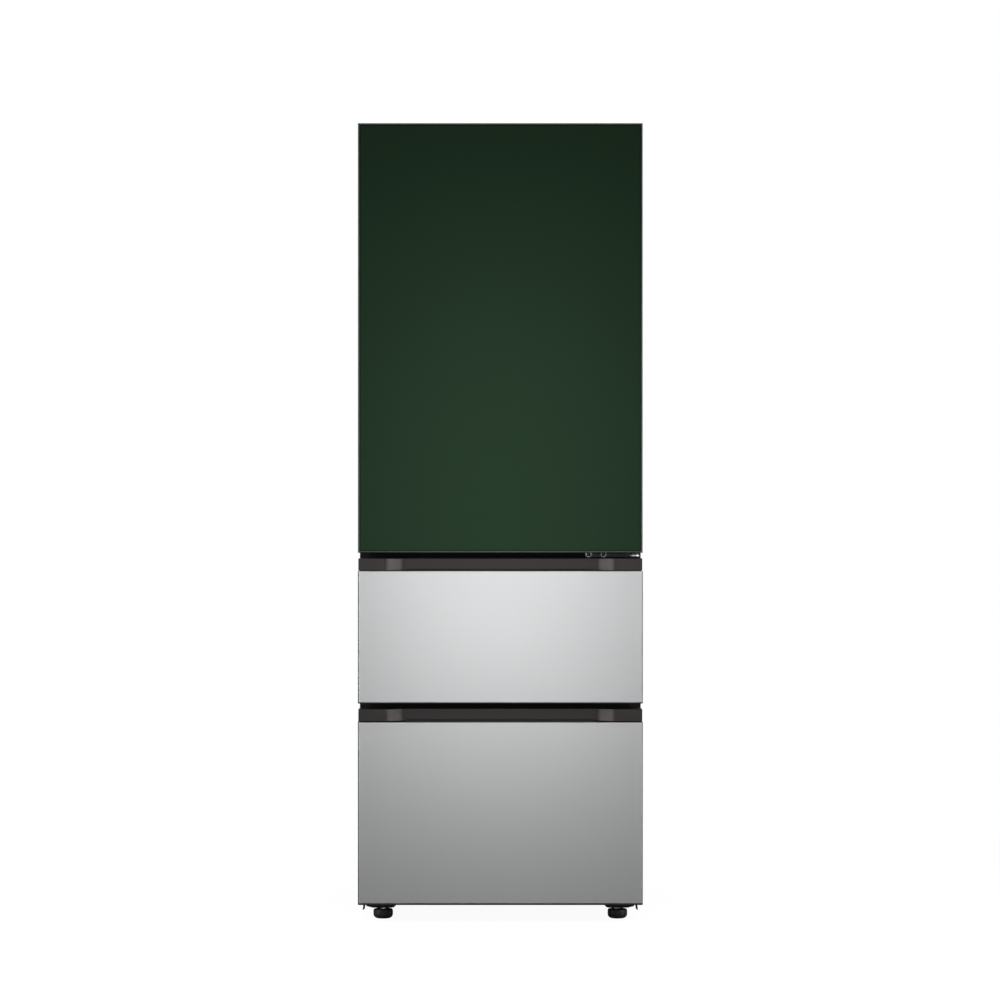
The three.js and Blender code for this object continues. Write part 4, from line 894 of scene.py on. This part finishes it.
class REFRIGERATOR_OT_drawer_fronts(bpy.types.Operator):
    """Make the steel fronts, their bodies and seals"""

    bl_idname = "refrigerator.drawer_fronts"
    bl_label = "Drawer fronts"

    def execute(self, context):
        edge = sizes().front_edge
        sheet, pocket_half, lip, lip_depth = mm(0.9, 220, 10, 4)
        border_setback, border_inset, border_corner = mm(0.5, 0.06, 2)
        border_wall = edge - 0.1 * MM
        for drawer in DRAWERS:
            body, node, seal = (drawer + name for name in ("_drawer", "_drawer_panel", "_drawer_seal"))
            low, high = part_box(node)
            # The lower drawer's dark band at its foot is wider, as more painted shade near the floor.
            foot, top = (1.6 * edge, high.z - 1.2 * MM) if drawer == "lower" else (edge, high.z)
            skin = slab(drawer + "_front_steel", (low.x + edge, low.y, low.z + foot), (high.x - edge, high.y, top))
            without(skin, facing((0, 1, 0)))
            rounded(skin, sizes().steel_bend, 5, inner_edge)
            walled(skin, sheet)
            cut_by(skin, slab(
                "pocket_cut", (-pocket_half, low.y + lip, top - lip_depth), (pocket_half, high.y + lip, top + lip)))
            fitted(smoothed(skin), body, "front_steel", node)

            # A dark frame round the steel, coloured as painted shade: it stands for the dark line of shade at the
            # bent edges.
            side = high.x - border_inset
            border = slab(drawer + "_front_edge", (-side, low.y + border_setback, low.z), (side, high.y, high.z))
            without(border, facing((0, 1, 0), (0, -1, 0), (0, 0, 1)))
            rounded(border, border_corner, 4, lambda fold: runs(fold, Y) and inner_edge(fold))
            walled(border, border_wall)
            with shaping(border):
                moved(border, lambda vert: near(vert.co.z, low.z + border_wall), (0, 0, foot - edge))
            fitted(softened(border, 0.5 * MM, 3, 50), body, "trim_metal", look="front_edge")

            core = copy_of(drawer + "_drawer_core", drawer + "_front_body", whole=False)
            two_tone(core, seal)
            fitted(softened(core, 0.8 * MM, 2), body, "liner_white", drawer + "_drawer_core")
            seal_ring(seal, body)
        return {"FINISHED"}


class REFRIGERATOR_OT_grips(bpy.types.Operator):
    """Make the recessed grip mouldings over the drawers"""

    bl_idname = "refrigerator.grips"
    bl_label = "Grips"

    def execute(self, context):
        # Each is flush at both ends, curved in between, with a finger pocket behind the steel lip.
        recess, start, run, wall, tub_wall, lip = mm(30, 276, 56, 3, 2.5, 10)
        pocket_depth, pocket_gap, band_gap, wall_foot, wall_rise = mm(24, 1.3, 1.2, 2, 4.2)
        steps, pocket_half = 16, start - run
        stations = [start - run * step / steps for step in range(steps + 1)]
        for drawer in DRAWERS:
            node = drawer + "_drawer_handle"
            low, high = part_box(node)
            panel_low, panel_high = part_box(drawer + "_drawer_panel")
            front, panel_top = panel_low.y, panel_high.z
            band = slab(drawer + "_grip", (low.x, low.y, panel_top + band_gap), high)
            with shaping(band):
                slice_at(X, *stations, *[-place for place in stations])
                for place in stations:
                    depth = recess * (1 - math.cos(math.pi * (start - place) / run)) / 2
                    moved(band, lambda vert, place=place: (
                        near(abs(vert.co.x), place) and near(vert.co.y, low.y)), (0, depth, 0))
                pick(band, "FACE", facing((0, 0, -1)))
                bpy.ops.mesh.delete(type="FACE")
            walled(band, wall)
            softened(band, sizes().grip_edge, 3, 40)

            floor, rim, back = panel_top - pocket_depth, panel_top - pocket_gap, low.y + recess
            side = pocket_half + tub_wall
            tub = slab("tub", (-side, front + lip - tub_wall, floor - tub_wall), (side, back + wall, rim))
            with shaping(tub):
                pick(tub, "FACE", facing((0, 0, 1)))
                bpy.ops.mesh.inset(thickness=tub_wall)
                drawn_out(floor - rim)
            softened(tub, 1 * MM, 2, 40)
            wall_back = slab("wall", (-side, back, rim - wall_foot), (side, back + wall, panel_top + wall_rise))
            fitted(joined(drawer + "_grip", band, tub, smoothed(wall_back)), drawer + "_drawer", "grip_bronze", node)
        return {"FINISHED"}


class REFRIGERATOR_OT_hinges(bpy.types.Operator):
    """Make the lower and upper hinges with their screws and cover"""

    bl_idname = "refrigerator.hinges"
    bl_label = "Hinges"

    def execute(self, context):
        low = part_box("lower_hinge")[0]
        axis_x, axis_y, bush_z, lobe_z, lobe_depth, arm_start = mm(316, -338, 861, 861.4, 50.2, 302)
        washer_radius, washer_height, screw_radius = mm(6.9, 0.8, 5.3)
        bracket = softened(copy_of("lower_hinge", "lower_hinge_bracket"), 0.7 * MM, 3)
        two_looks(bracket, "hinge_black", "zinc_steel", lambda face: (
            centre_of(face).x > arm_start
            or (0.2 < -face.normal.y < 0.95 and abs(centre_of(face).y - low.y) > 40 * MM)))
        fitted(bracket, "cabinet", "zinc_steel", "lower_hinge")
        seats = [(axis_x - reach, low.y + lobe_depth, lobe_z) for reach in mm(73, 108)]
        washer_rings = [(washer_radius, 0), (washer_radius, washer_height)]
        washer = softened(turned("lower_hinge_washers", washer_rings, 28, way="-Y"), 0.25 * MM)
        fitted(repeated(washer, seats), "cabinet", "zinc_steel")
        heads = [(x, y - washer_height, z) for x, y, z in seats]
        screws("lower_hinge_screws", "cabinet", "black_plastic", heads, "-Y", "black_screw", screw_radius)
        bush_rings = [mm(9, 0), mm(9, 3.2), mm(6, 4.2), mm(5.6, 4.2)]
        bush = turned("door_bush", bush_rings, 24, (axis_x, axis_y, bush_z))
        fitted(smoothed(bush), "cabinet", "black_plastic")

        dressed("top_hinge", "top_hinge_bracket", "zinc_steel", 0.5 * MM, 2)
        dressed("top_hinge_cover", "top_hinge_cap", "cabinet_graphite", 1.6 * MM, 3, whole=False)
        low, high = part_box("top_hinge_cover")
        spot = ((low.x + high.x) / 2, high.y - 22 * MM, high.z - 2.2 * MM)
        screws("top_hinge_cap_screw", "cabinet", "zinc_steel", [spot], "+Z", "black_screw", 3.8 * MM)
        return {"FINISHED"}


class REFRIGERATOR_OT_feet_and_rollers(bpy.types.Operator):
    """Make the levelling feet and the rear rollers"""

    bl_idname = "refrigerator.feet_and_rollers"
    bl_label = "Feet and rollers"

    def execute(self, context):
        grooves = 3 * sizes().knob_ribs
        groove_low, groove_high, groove_edge, groove_depth = mm(5, 18, 0.3, 1.1)
        knob_rings = [
            (0.50, 0), (0.62, 0.4), (0.74, 1.5), (0.84, 3.2), (0.91, 5.4), (0.955, 8.4), (0.965, 12.0), (0.965, 18.0),
            (0.95, 20.4), (0.89, 22.2), (0.76, 23.0), (0.50, 23.2)]
        nut_rings = [mm(7.8, 22.8), mm(8.4, 23.4), mm(8.4, 25.6), mm(7.8, 26.2)]
        root, crest, pitch, start, turns = *mm(4.3, 5.0, 1.4, 25.8), 21
        thread = []
        for turn in range(turns):
            thread += [(root, start + turn * pitch), (crest, start + (turn + 0.5) * pitch)]
        half_wheel = [
            (17, 5.5), (16.6, 7.2), (15.2, 8), (13.2, 8), (12.6, 7.0), (7.4, 7.0), (7, 8.6), (4, 8.6), (4, 11.8)]
        wheel_rings = [(radius, -height) for radius, height in reversed(half_wheel)] + half_wheel
        for side, _ in SIDES:
            node = "front_foot_" + side
            low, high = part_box(node)
            centre = ((low.x + high.x) / 2, (low.y + high.y) / 2, 0)
            radius = (high.x - low.x) / 2
            rings = [(share * radius, rise * MM) for share, rise in knob_rings]
            knob = turned(node + "_knob", rings, grooves, centre)

            def in_groove(face):
                spot = centre_of(face)
                turn = math.atan2(spot.y - centre[1], spot.x - centre[0]) / (2 * math.pi) * grooves
                upright = groove_low < spot.z < groove_high and abs(face.normal.z) < 0.6
                return upright and int(turn + grooves) % 3 == 0

            with shaping(knob):
                pick(knob, "FACE", in_groove)
                bpy.ops.mesh.inset(thickness=groove_edge, depth=-groove_depth, use_even_offset=True)
            fitted(smoothed(knob, 32), node, "black_plastic", node)
            nut = turned(node + "_nut", nut_rings, 6, centre)
            # The nut's near-white metal is a painted highlight, standing in for a glint.
            fitted(softened(nut, 0.3 * MM, 2), node, "zinc_steel", look="foot_nut")
            stem = turned(node + "_stem", thread, 24, centre)
            fitted(smoothed(stem, 20), node, "zinc_steel", look="bright_screw")

            node = "rear_roller_" + side
            low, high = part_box(node)
            scale = (high.z - low.z) / 2 / half_wheel[0][0]
            rings = [(ring * scale, height * MM) for ring, height in wheel_rings]
            wheel = turned(node + "_wheel", rings, 40, (low + high) / 2, "+X")
            fitted(smoothed(wheel, 30), node, "black_plastic", node)
        return {"FINISHED"}


class REFRIGERATOR_OT_cabinet(bpy.types.Operator):
    """Make the outer wrap, the crossbars and the base"""

    bl_idname = "refrigerator.cabinet"
    bl_label = "Cabinet"

    def execute(self, context):
        low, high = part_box("cabinet_shell")
        flange = 25 * MM
        shell = slab("cabinet_wrap", low, high)
        with shaping(shell):
            slice_at(X, low.x + flange, high.x - flange)
            slice_at(Z, high.z - flange)

        def opening(face):
            spot = centre_of(face)
            in_mouth = abs(spot.x) < high.x - flange and spot.z < high.z - flange
            return facing((0, 1, 0), (0, 0, -1))(face) or (facing((0, -1, 0))(face) and in_mouth)

        without(shell, opening)
        rounded(shell, 2 * MM, 4, folded)
        walled(shell, SHEET)
        # The front flange gets a darker finish in place of the cabinet's paint, as painted shade for the shade inside
        # the gaps between the fronts.
        two_looks(shell, "cabinet_graphite", "flange_black", lambda face: (
            face.normal.y < -0.9 and centre_of(face).y < low.y + SHEET / 2))
        fitted(smoothed(shell), "cabinet", "cabinet_graphite", "cabinet_shell")
        # The crossbars get a near-black finish as painted shade: the deep gaps between the fronts lie in shade.
        for split in ("upper", "lower"):
            bar = softened(copy_of(split + "_crossbar", split + "_crossbar_channel"), 0.5 * MM)
            fitted(bar, "cabinet", "cabinet_graphite", split + "_crossbar", look="channel_black")
        dressed("base_pan", "base_tray", "black_paint", 0.6 * MM)
        hook_x, hook_half, hook_front, hook_back = mm(321.3, 2.3, -292, -279)
        pad_inner, pad_outer, pad_front, pad_back, pad_foot, pad_bend, pan = mm(247, 316, -287, -234, 26.6, 31, 37)
        pad_x, pad_y, pad_taper = *mm(271, -260.5), (0.66, 0.8, 1)
        # Each bend of a hook: its height and how far it leans out.
        hook_bends = [mm(*bend) for bend in ((37, -0.4), (32, -0.2), (28, 0.2), (24, 0.9))]
        for side, way in SIDES:
            hook = slab(
                side + "_base_hook", (-hook_half, hook_front, hook_bends[-1][0]), (hook_half, hook_back, pan))
            with shaping(hook):
                slice_at(Z, hook_bends[2][0], hook_bends[1][0])
                for level, shift in hook_bends:
                    moved(hook, lambda vert, level=level: near(vert.co.z, level), (way * (hook_x + shift), 0, 0))
            fitted(softened(hook, 0.9 * MM, 3), "cabinet", "black_paint", look="hinge_black")
            x0, x1 = span(way, pad_inner, pad_outer)
            pad = slab(side + "_foot_pad", (x0, pad_front, pad_foot), (x1, pad_back, pan))
            with shaping(pad):
                slice_at(Z, pad_bend)
                pick(pad, "VERT", lambda vert: near(vert.co.z, pad_foot))
                bpy.ops.transform.resize(value=pad_taper, center_override=(way * pad_x, pad_y, 0))
            fitted(softened(pad, 1 * MM, 3), "cabinet", "black_paint", look="hinge_black")
        painted("cabinet_foam", "foam")
        return {"FINISHED"}


class REFRIGERATOR_OT_cabinet_back(bpy.types.Operator):
    """Make the beaded back, the louvred cover and their screws"""

    bl_idname = "refrigerator.cabinet_back"
    bl_label = "Cabinet back"

    def execute(self, context):
        low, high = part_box("back_panel")
        bead, bead_ends, bead_pitch, bead_rise, slope, screw_x, screw_z = mm(40, 90, 190, 4, 6, 11, 14)
        panel = slab("back_sheet", low, (high.x, low.y + SHEET, high.z))
        centres, foot, top = (-bead_pitch, 0, bead_pitch), low.z + bead_ends, high.z - bead_ends

        def in_bead(face):
            spot = centre_of(face)
            return face.normal.y > 0.9 and foot < spot.z < top and any(
                abs(spot.x - centre) < bead / 2 for centre in centres)

        with shaping(panel):
            slice_at(X, *[centre + way * bead / 2 for centre in centres for way in (-1, 1)])
            slice_at(Z, foot, top)
            pick(panel, "FACE", in_bead)
            bpy.ops.mesh.inset(thickness=slope, depth=bead_rise, use_even_offset=True)
        fitted(softened(panel, 0.5 * MM, 2, 20), "cabinet", "zinc_steel", "back_panel")
        rows = [low.z + share * (high.z - low.z) for share in (0.2, 0.4, 0.6, 0.8)]
        rows = [low.z + screw_z, *rows, high.z - screw_z]
        places = [(side * (high.x - screw_x), low.y + SHEET, row) for row in rows for _, side in SIDES]
        places += [(x, low.y + SHEET, row) for x in mm(-120, 120) for row in (rows[0], rows[-1])]
        screws("back_screws", "cabinet", "zinc_steel", places, "+Y")

        dressed("rear_cover", "rear_cover_sheet", "zinc_steel", 0.2 * MM, 1, whole=False)
        low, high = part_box("rear_cover")
        length, hood_height, hood_rise, hood_bend, hood_wall, drop, step = mm(190, 9, 3.4, 3.2, 0.8, 3, 18)
        louvres = 8
        hood = slab("rear_louvres", (-length / 2, high.y, 0), (length / 2, high.y + hood_rise, hood_height))
        without(hood, facing((0, 0, -1), (0, -1, 0)))
        rounded(hood, hood_bend, 4, lambda edge: near(middle(edge).y, high.y + hood_rise) and inner_edge(edge))
        walled(hood, hood_wall)
        first = (low.z + high.z) / 2 - (louvres - 1) / 2 * step - drop
        offsets = [
            (side * (length / 2 + step), 0, first + row * step) for row in range(louvres) for _, side in SIDES]
        fitted(repeated(smoothed(hood), offsets), "cabinet", "zinc_steel")
        rows, column = (low.z + screw_z, high.z - screw_z), high.x - screw_x
        places = [(x, high.y, row) for x in (-column, column, 0) for row in rows]
        screws("rear_cover_screws", "cabinet", "zinc_steel", places, "+Y")
        dressed("cord_gland", "lead_bush", "black_plastic", 0.6 * MM, 2)
        return {"FINISHED"}


def room(node, inner_low, inner_high, ledges):
    """A vacuum-formed room with rounded corners, a flange at its mouth and ledges for shelves."""
    low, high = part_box(node)
    tub = slab(node + "_tub", inner_low, inner_high)
    without(tub, facing((0, -1, 0)))
    rounded(tub, sizes().room_corner, 6, inner_edge)
    with shaping(tub):
        pick(tub, "EDGE", rim_edge)
        drawn_out(0)
        for axis in (X, Z):
            grow = (high[axis] - low[axis]) / (inner_high[axis] - inner_low[axis])
            value, centre = [1, 1, 1], [0, 0, 0]
            value[axis] = grow
            centre[axis] = (low[axis] - grow * inner_low[axis]) / (1 - grow)
            bpy.ops.transform.resize(value=value, center_override=centre)
    rounded(tub, 0.9 * MM, 3, lambda edge: near(middle(edge).y, inner_low[Y]) and folded(edge, 0.8))
    walled(tub, ROOM_SKIN, 1)
    smoothed(tub)
    parts = []
    ledge_front, ledge_back, ledge_width, ledge_height, root = mm(-194.5, 231.5, 10, 6, 0.7)
    for top in ledges:
        for _, way in SIDES:
            x0, x1 = span(way, inner_high[X] - ledge_width, inner_high[X] + root)
            parts.append(block(
                "ledge", (x0, ledge_front, top - ledge_height), (x1, ledge_back, top), 1.6 * MM, 3))
    fitted(joined(node + "_tub", tub, *parts), "cabinet", "liner_white", node)


class REFRIGERATOR_OT_rooms(bpy.types.Operator):
    """Make the three moulded rooms"""

    bl_idname = "refrigerator.rooms"
    bl_label = "Rooms"

    def execute(self, context):
        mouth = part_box("upper_liner")[0].y
        for node, below, above, ledges in (
            ("upper_liner", ROOM_SKIN, 24.7 * MM, mm(300, 600)), ("middle_liner", ROOM_SKIN, ROOM_SKIN, ()),
            ("lower_liner", 41.7 * MM, ROOM_SKIN, ()),
        ):
            low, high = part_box(node)
            floor = low.z + below
            inner_high = (WALL_X, high.y - ROOM_SKIN, high.z - above)
            room(node, (-WALL_X, mouth, floor), inner_high, [floor + rise for rise in ledges])
        return {"FINISHED"}


class REFRIGERATOR_OT_room_fittings(bpy.types.Operator):
    """Make the air duct, shelves, lamp and control panel"""

    bl_idname = "refrigerator.room_fittings"
    bl_label = "Room fittings"

    def execute(self, context):
        dressed("duct_cover", "duct_front", "liner_white", 0.45 * MM, 2, whole=False)
        painted("evaporator", "fin_aluminium")
        painted("evaporator_fan", "black_plastic")
        glass_rise, glass, glass_corner, end_gap, nosing, nosing_rise = mm(8, 4, 4, 10, 13, 6)
        rest_inner, rest_outer, rest_front, rest_back, rest_height, gap = mm(271.5, 280.9, 16, 8, 9, 0.1)
        for level in ("upper", "lower"):
            node = level + "_shelf"
            low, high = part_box(node)
            base = low.z + glass_rise
            pane = plate(node + "_pane", (low.x, low.y, base), (high.x, high.y, base + glass), glass_corner, 4)
            fitted(softened(pane, 0.8 * MM, 2), "cabinet", "shelf_glass", node)
            inner = high.x - end_gap
            rail = slab(node + "_nosing", (-inner, low.y, low.z), (inner, low.y + nosing, base + nosing_rise))
            stepped_in(rail, (0, -1, 0), (3.2, -0.8))
            fitted(softened(rail, 1.2 * MM, 3), "cabinet", "rail_steel")
            stop = block(
                node + "_stop", (-inner, high.y - nosing, low.z + 4 * MM), (inner, high.y, high.z), 2.4 * MM, 4)
            fitted(stop, "cabinet", "liner_white")
            for side, way in SIDES:
                x0, x1 = span(way, rest_inner, rest_outer)
                rest = block(
                    f"{node}_rest_{side}", (x0, low.y + rest_front, base - rest_height),
                    (x1, high.y - rest_back, base - gap), 2 * MM, 4)
                fitted(rest, "cabinet", "liner_white")

        low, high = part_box("control_panel")
        panel = plate("control_housing", low, high, 8 * MM, 6)
        stepped_in(panel, (0, 0, -1), (3, 0), (0.6, -0.8))
        fitted(softened(panel, 0.8 * MM, 2), "cabinet", "black_plastic", "control_panel")
        frame_width, window_low, window_high, key_root = mm(4, 0.3, 1.2, 0.4)
        window = plate(
            "control_window", (low.x + frame_width, low.y + frame_width, low.z + window_low),
            (high.x - frame_width, high.y - frame_width, low.z + window_high), 5 * MM, 5)
        fitted(softened(window, 0.2 * MM, 2), "cabinet", "black_plastic", look="smoked_window")
        key_rings = [mm(4.2, 0), mm(4.2, 0.5), mm(3.6, 0.8), mm(3.2, 0.5)]
        key = turned("control_keys", key_rings, 32, way="-Z")
        places = [(x, (low.y + high.y) / 2, low.z + key_root) for x in mm(-80, -48, -16, 16, 48, 80)]
        fitted(repeated(smoothed(key), places), "cabinet", "liner_white")

        lens = plate("lamp_lens", *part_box("lamp_cover"), 8 * MM, 6)
        stepped_in(lens, (0, 0, -1), (5, 0), (1, -0.8))
        fitted(softened(lens, 1.2 * MM, 3), "cabinet", "lamp_lens", "lamp_cover")
        return {"FINISHED"}


class REFRIGERATOR_OT_drawer_frames(bpy.types.Operator):
    """Make the drawers' carriers and telescopic rails"""

    bl_idname = "refrigerator.drawer_frames"
    bl_label = "Drawer frames and rails"

    def execute(self, context):
        gap, length, end_gap = mm(0.4, 9, 6)
        for drawer in DRAWERS:
            dressed(drawer + "_drawer_frame", drawer + "_carrier", "zinc_steel", 0.5 * MM, whole=False)
            for side, way in SIDES:
                for member in ("outer", "middle"):
                    node = f"{drawer}_rail_{member}_{side}"
                    dressed(node, f"{drawer}_{member}_runner_{side}", "rail_steel", 0.4 * MM)
                low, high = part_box(f"{drawer}_rail_outer_{side}")
                x0, x1 = span(way, 270.5 * MM, WALL_X)
                stop = block(
                    f"{drawer}_rail_stop_{side}", (x0, high.y + gap, low.z + end_gap),
                    (x1, high.y + length, high.z - end_gap), 2 * MM, 3)
                fitted(stop, "cabinet", "black_plastic")
        return {"FINISHED"}


class REFRIGERATOR_OT_containers(bpy.types.Operator):
    """Make the kimchi containers and their lids"""

    bl_idname = "refrigerator.containers"
    bl_label = "Containers"

    def execute(self, context):
        corner = sizes().container_corner
        rim, wall, rim_depth, foot = mm(4, 2, 4.5, 9)
        crown, overhang, lid_wall, clip_half, clip_root, clip_out, clip_drop = mm(7, 6.8, 2.2, 38, 0.5, 2.2, 5)
        for drawer in DRAWERS:
            for side, _ in SIDES:
                node = f"{drawer}_container_{side}"
                low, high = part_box(node)
                sides = (low.x + rim, low.y + rim, low.z), (high.x - rim, high.y - rim, high.z - wall)
                tub = open_box(node + "_tub", *sides, (corner, 8), (foot, 5))
                rimmed(tub, *sides, rim - wall, -rim_depth)
                walled(tub, wall)
                fitted(softened(tub, 0.7 * MM, 2, 50), body_with(node), "container_body", node)

                node = f"{drawer}_lid_{side}"
                low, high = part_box(node)
                lid = plate(node + "_shell", low, (high.x, high.y, high.z - crown), corner + overhang, 10)
                with shaping(lid):
                    pick(lid, "FACE", facing((0, 0, 1)))
                    for width, rise in ((6, 0), (2, -1.6), (6, 0), (2, 1.6), (4.8, crown / MM)):
                        bpy.ops.mesh.inset(thickness=width * MM, depth=rise * MM)
                    for width, rise in ((28, 0), (3, -1.4)):
                        drawn_out(rise * MM)
                        shrink(low, high, width * MM)
                    pick(lid, "FACE", facing((0, 0, -1)))
                    bpy.ops.mesh.delete(type="FACE")
                walled(lid, lid_wall)
                softened(lid, 0.9 * MM, 3, 28)
                centre, foot_z, top_z = (low.x + high.x) / 2, low.z - clip_drop, high.z - crown - 1 * MM
                clips = []
                for y, out in ((low.y, -1), (high.y, 1)):
                    y0, y1 = sorted((y - out * clip_root, y + out * clip_out))
                    clips.append(block(
                        "clip", (centre - clip_half, y0, foot_z), (centre + clip_half, y1, top_z), 1.1 * MM, 3))
                fitted(joined(node + "_shell", lid, *clips), body_with(node), "container_lid", node)
        return {"FINISHED"}


class REFRIGERATOR_OT_machinery(bpy.types.Operator):
    """Finish the compressor, the condenser and its fan"""

    bl_idname = "refrigerator.machinery"
    bl_label = "Machinery"

    def execute(self, context):
        dressed("compressor", "compressor_shell", "black_paint", 0.8 * MM, 3, whole=False)
        painted("condenser", "fin_aluminium")
        painted("condenser_fan", "black_plastic")
        return {"FINISHED"}


# Studio


def lamp(name, place, target, size, power):
    """A softbox that lights but is not seen itself."""
    bpy.ops.object.light_add(type="AREA", location=place)
    ob = bpy.context.object
    ob.name = name
    ob.rotation_mode = "QUATERNION"
    ob.rotation_quaternion = (Vector(target) - Vector(place)).to_track_quat("-Z", "Y")
    ob.data.shape = "RECTANGLE"
    ob.data.size, ob.data.size_y = size
    ob.data.energy = power
    ob.visible_camera = False


def seen_rays(look):
    """Whether a ray comes from the camera, from a mirror or through glass."""
    kinds = ("Is Camera Ray", "Is Glossy Ray", "Is Transmission Ray")
    return [look.node("ShaderNodeLightPath", output=kind) for kind in kinds]


class REFRIGERATOR_OT_studio(bpy.types.Operator):
    """Make the floor, the lamps, the air and the camera"""

    bl_idname = "refrigerator.studio"
    bl_label = "Studio"

    def execute(self, context):
        scene = bpy.context.scene
        scene.view_settings.view_transform = "Standard"

        bounce, lift_share, clear_radius = 0.05, 0.95, 1.2
        bpy.ops.mesh.primitive_circle_add(vertices=96, radius=14, fill_type="NGON", location=(0, 0, 0))
        floor = settled(bpy.context.object, "studio_floor")
        look = Finish(bpy.data.materials.new("studio_white"))
        camera_ray, glossy_ray, glass_ray = seen_rays(look)
        seen = (camera_ray + glass_ray + glossy_ray * bounce).clipped()
        away = look.node("ShaderNodeVectorMath", {"operation": "LENGTH"}, {0: look.place()}, "Value")
        far = ((away - clear_radius) / clear_radius).clipped()
        lit = look.node("ShaderNodeBsdfDiffuse", {}, {"Color": (0.09, 0.09, 0.09, 1.0)})
        lift = look.node("ShaderNodeEmission", {}, {"Strength": seen * lift_share})
        near_floor = look.node("ShaderNodeAddShader", {}, {0: lit, 1: lift})
        white = look.node("ShaderNodeEmission", {}, {"Strength": seen})
        whole = look.node("ShaderNodeMixShader", {}, {0: far, 1: near_floor, 2: white})
        floor.data.materials.append(look.shown(whole))

        mirror_low, mirror_rise, fade_start, fade_width, ambient = 0.05, 0.74, 0.93, 0.6, 0.30
        scene.world = scene.world or bpy.data.worlds.new("studio_air")
        look = Finish(scene.world)
        camera_ray, glossy_ray, glass_ray = seen_rays(look)
        direction = look.node("ShaderNodeTexCoord", output="Generated")
        across = look.node("ShaderNodeSeparateXYZ", {}, {"Vector": direction}, "Y")
        mirrored = mirror_low + mirror_rise * ((across + fade_start) / fade_width).clipped()
        seen = (camera_ray + glass_ray).clipped()
        level = seen + (1 - seen) * (glossy_ray * mirrored + (1 - glossy_ray) * ambient)
        sky = look.node("ShaderNodeBackground", {}, {"Color": (1.0, 1.0, 1.0, 1.0), "Strength": level})
        look.shown(sky, "ShaderNodeOutputWorld")

        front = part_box("door_glass")[0].y
        lamp_y = front - 2.2
        lamp("front_softbox", (0, lamp_y, 1.02), (0, front, 0.99), (0.45, 1.3), 10.0)
        lamp("low_softbox", (0, lamp_y, 0.36), (0, front, 0.45), (0.45, 0.3), 0.55)
        lamp("top_softbox", (0, -0.2, 3.6), (0, 0, 0.6), (2.4, 2.4), 16)
        for side, way in SIDES:
            lamp(side + "_softbox", (2.4 * way, front - 0.9, 1.12), (0, front, 1.02), (1.6, 1.9), 52)

        eye_x, eye_distance, eye_height, focal_length, sensor_width = -0.0007, 9.0, 0.9889, 138.6, 36
        bpy.ops.object.camera_add(location=(eye_x, front - eye_distance, eye_height), rotation=(math.pi / 2, 0, 0))
        camera = bpy.context.object
        camera.name = "front_camera"
        camera.data.lens = focal_length
        camera.data.sensor_width = sensor_width
        camera.data.clip_end = 100
        scene.camera = camera
        return {"FINISHED"}


# Panel and start


STEPS = [
    REFRIGERATOR_OT_door_face,
    REFRIGERATOR_OT_door_body,
    REFRIGERATOR_OT_door_baskets,
    REFRIGERATOR_OT_drawer_fronts,
    REFRIGERATOR_OT_grips,
    REFRIGERATOR_OT_hinges,
    REFRIGERATOR_OT_feet_and_rollers,
    REFRIGERATOR_OT_cabinet,
    REFRIGERATOR_OT_cabinet_back,
    REFRIGERATOR_OT_rooms,
    REFRIGERATOR_OT_room_fittings,
    REFRIGERATOR_OT_drawer_frames,
    REFRIGERATOR_OT_containers,
    REFRIGERATOR_OT_machinery,
    REFRIGERATOR_OT_studio,
]


class VIEW3D_PT_refrigerator(bpy.types.Panel):
    """Lists the refrigerator's sizes, colours and building steps."""

    bl_label = "Kimchi refrigerator"
    bl_space_type = "VIEW_3D"
    bl_region_type = "UI"
    bl_category = "Refrigerator"

    def draw(self, context):
        for group in (context.scene.refrigerator_sizes, context.scene.refrigerator_colours):
            column = self.layout.column()
            for name in group.__annotations__:
                column.prop(group, name)
        for step in STEPS:
            self.layout.operator(step.bl_idname)


CLASSES = [RefrigeratorSizes, RefrigeratorColours, *STEPS, VIEW3D_PT_refrigerator]


def register():
    for kind in CLASSES:
        bpy.utils.register_class(kind)
    bpy.types.Scene.refrigerator_sizes = bpy.props.PointerProperty(type=RefrigeratorSizes)
    bpy.types.Scene.refrigerator_colours = bpy.props.PointerProperty(type=RefrigeratorColours)


def unregister():
    del bpy.types.Scene.refrigerator_colours
    del bpy.types.Scene.refrigerator_sizes
    for kind in reversed(CLASSES):
        bpy.utils.unregister_class(kind)


def main():
    register()
    for step in STEPS:
        getattr(bpy.ops.refrigerator, step.bl_idname.partition(".")[2])()


if __name__ == "__main__":
    main()
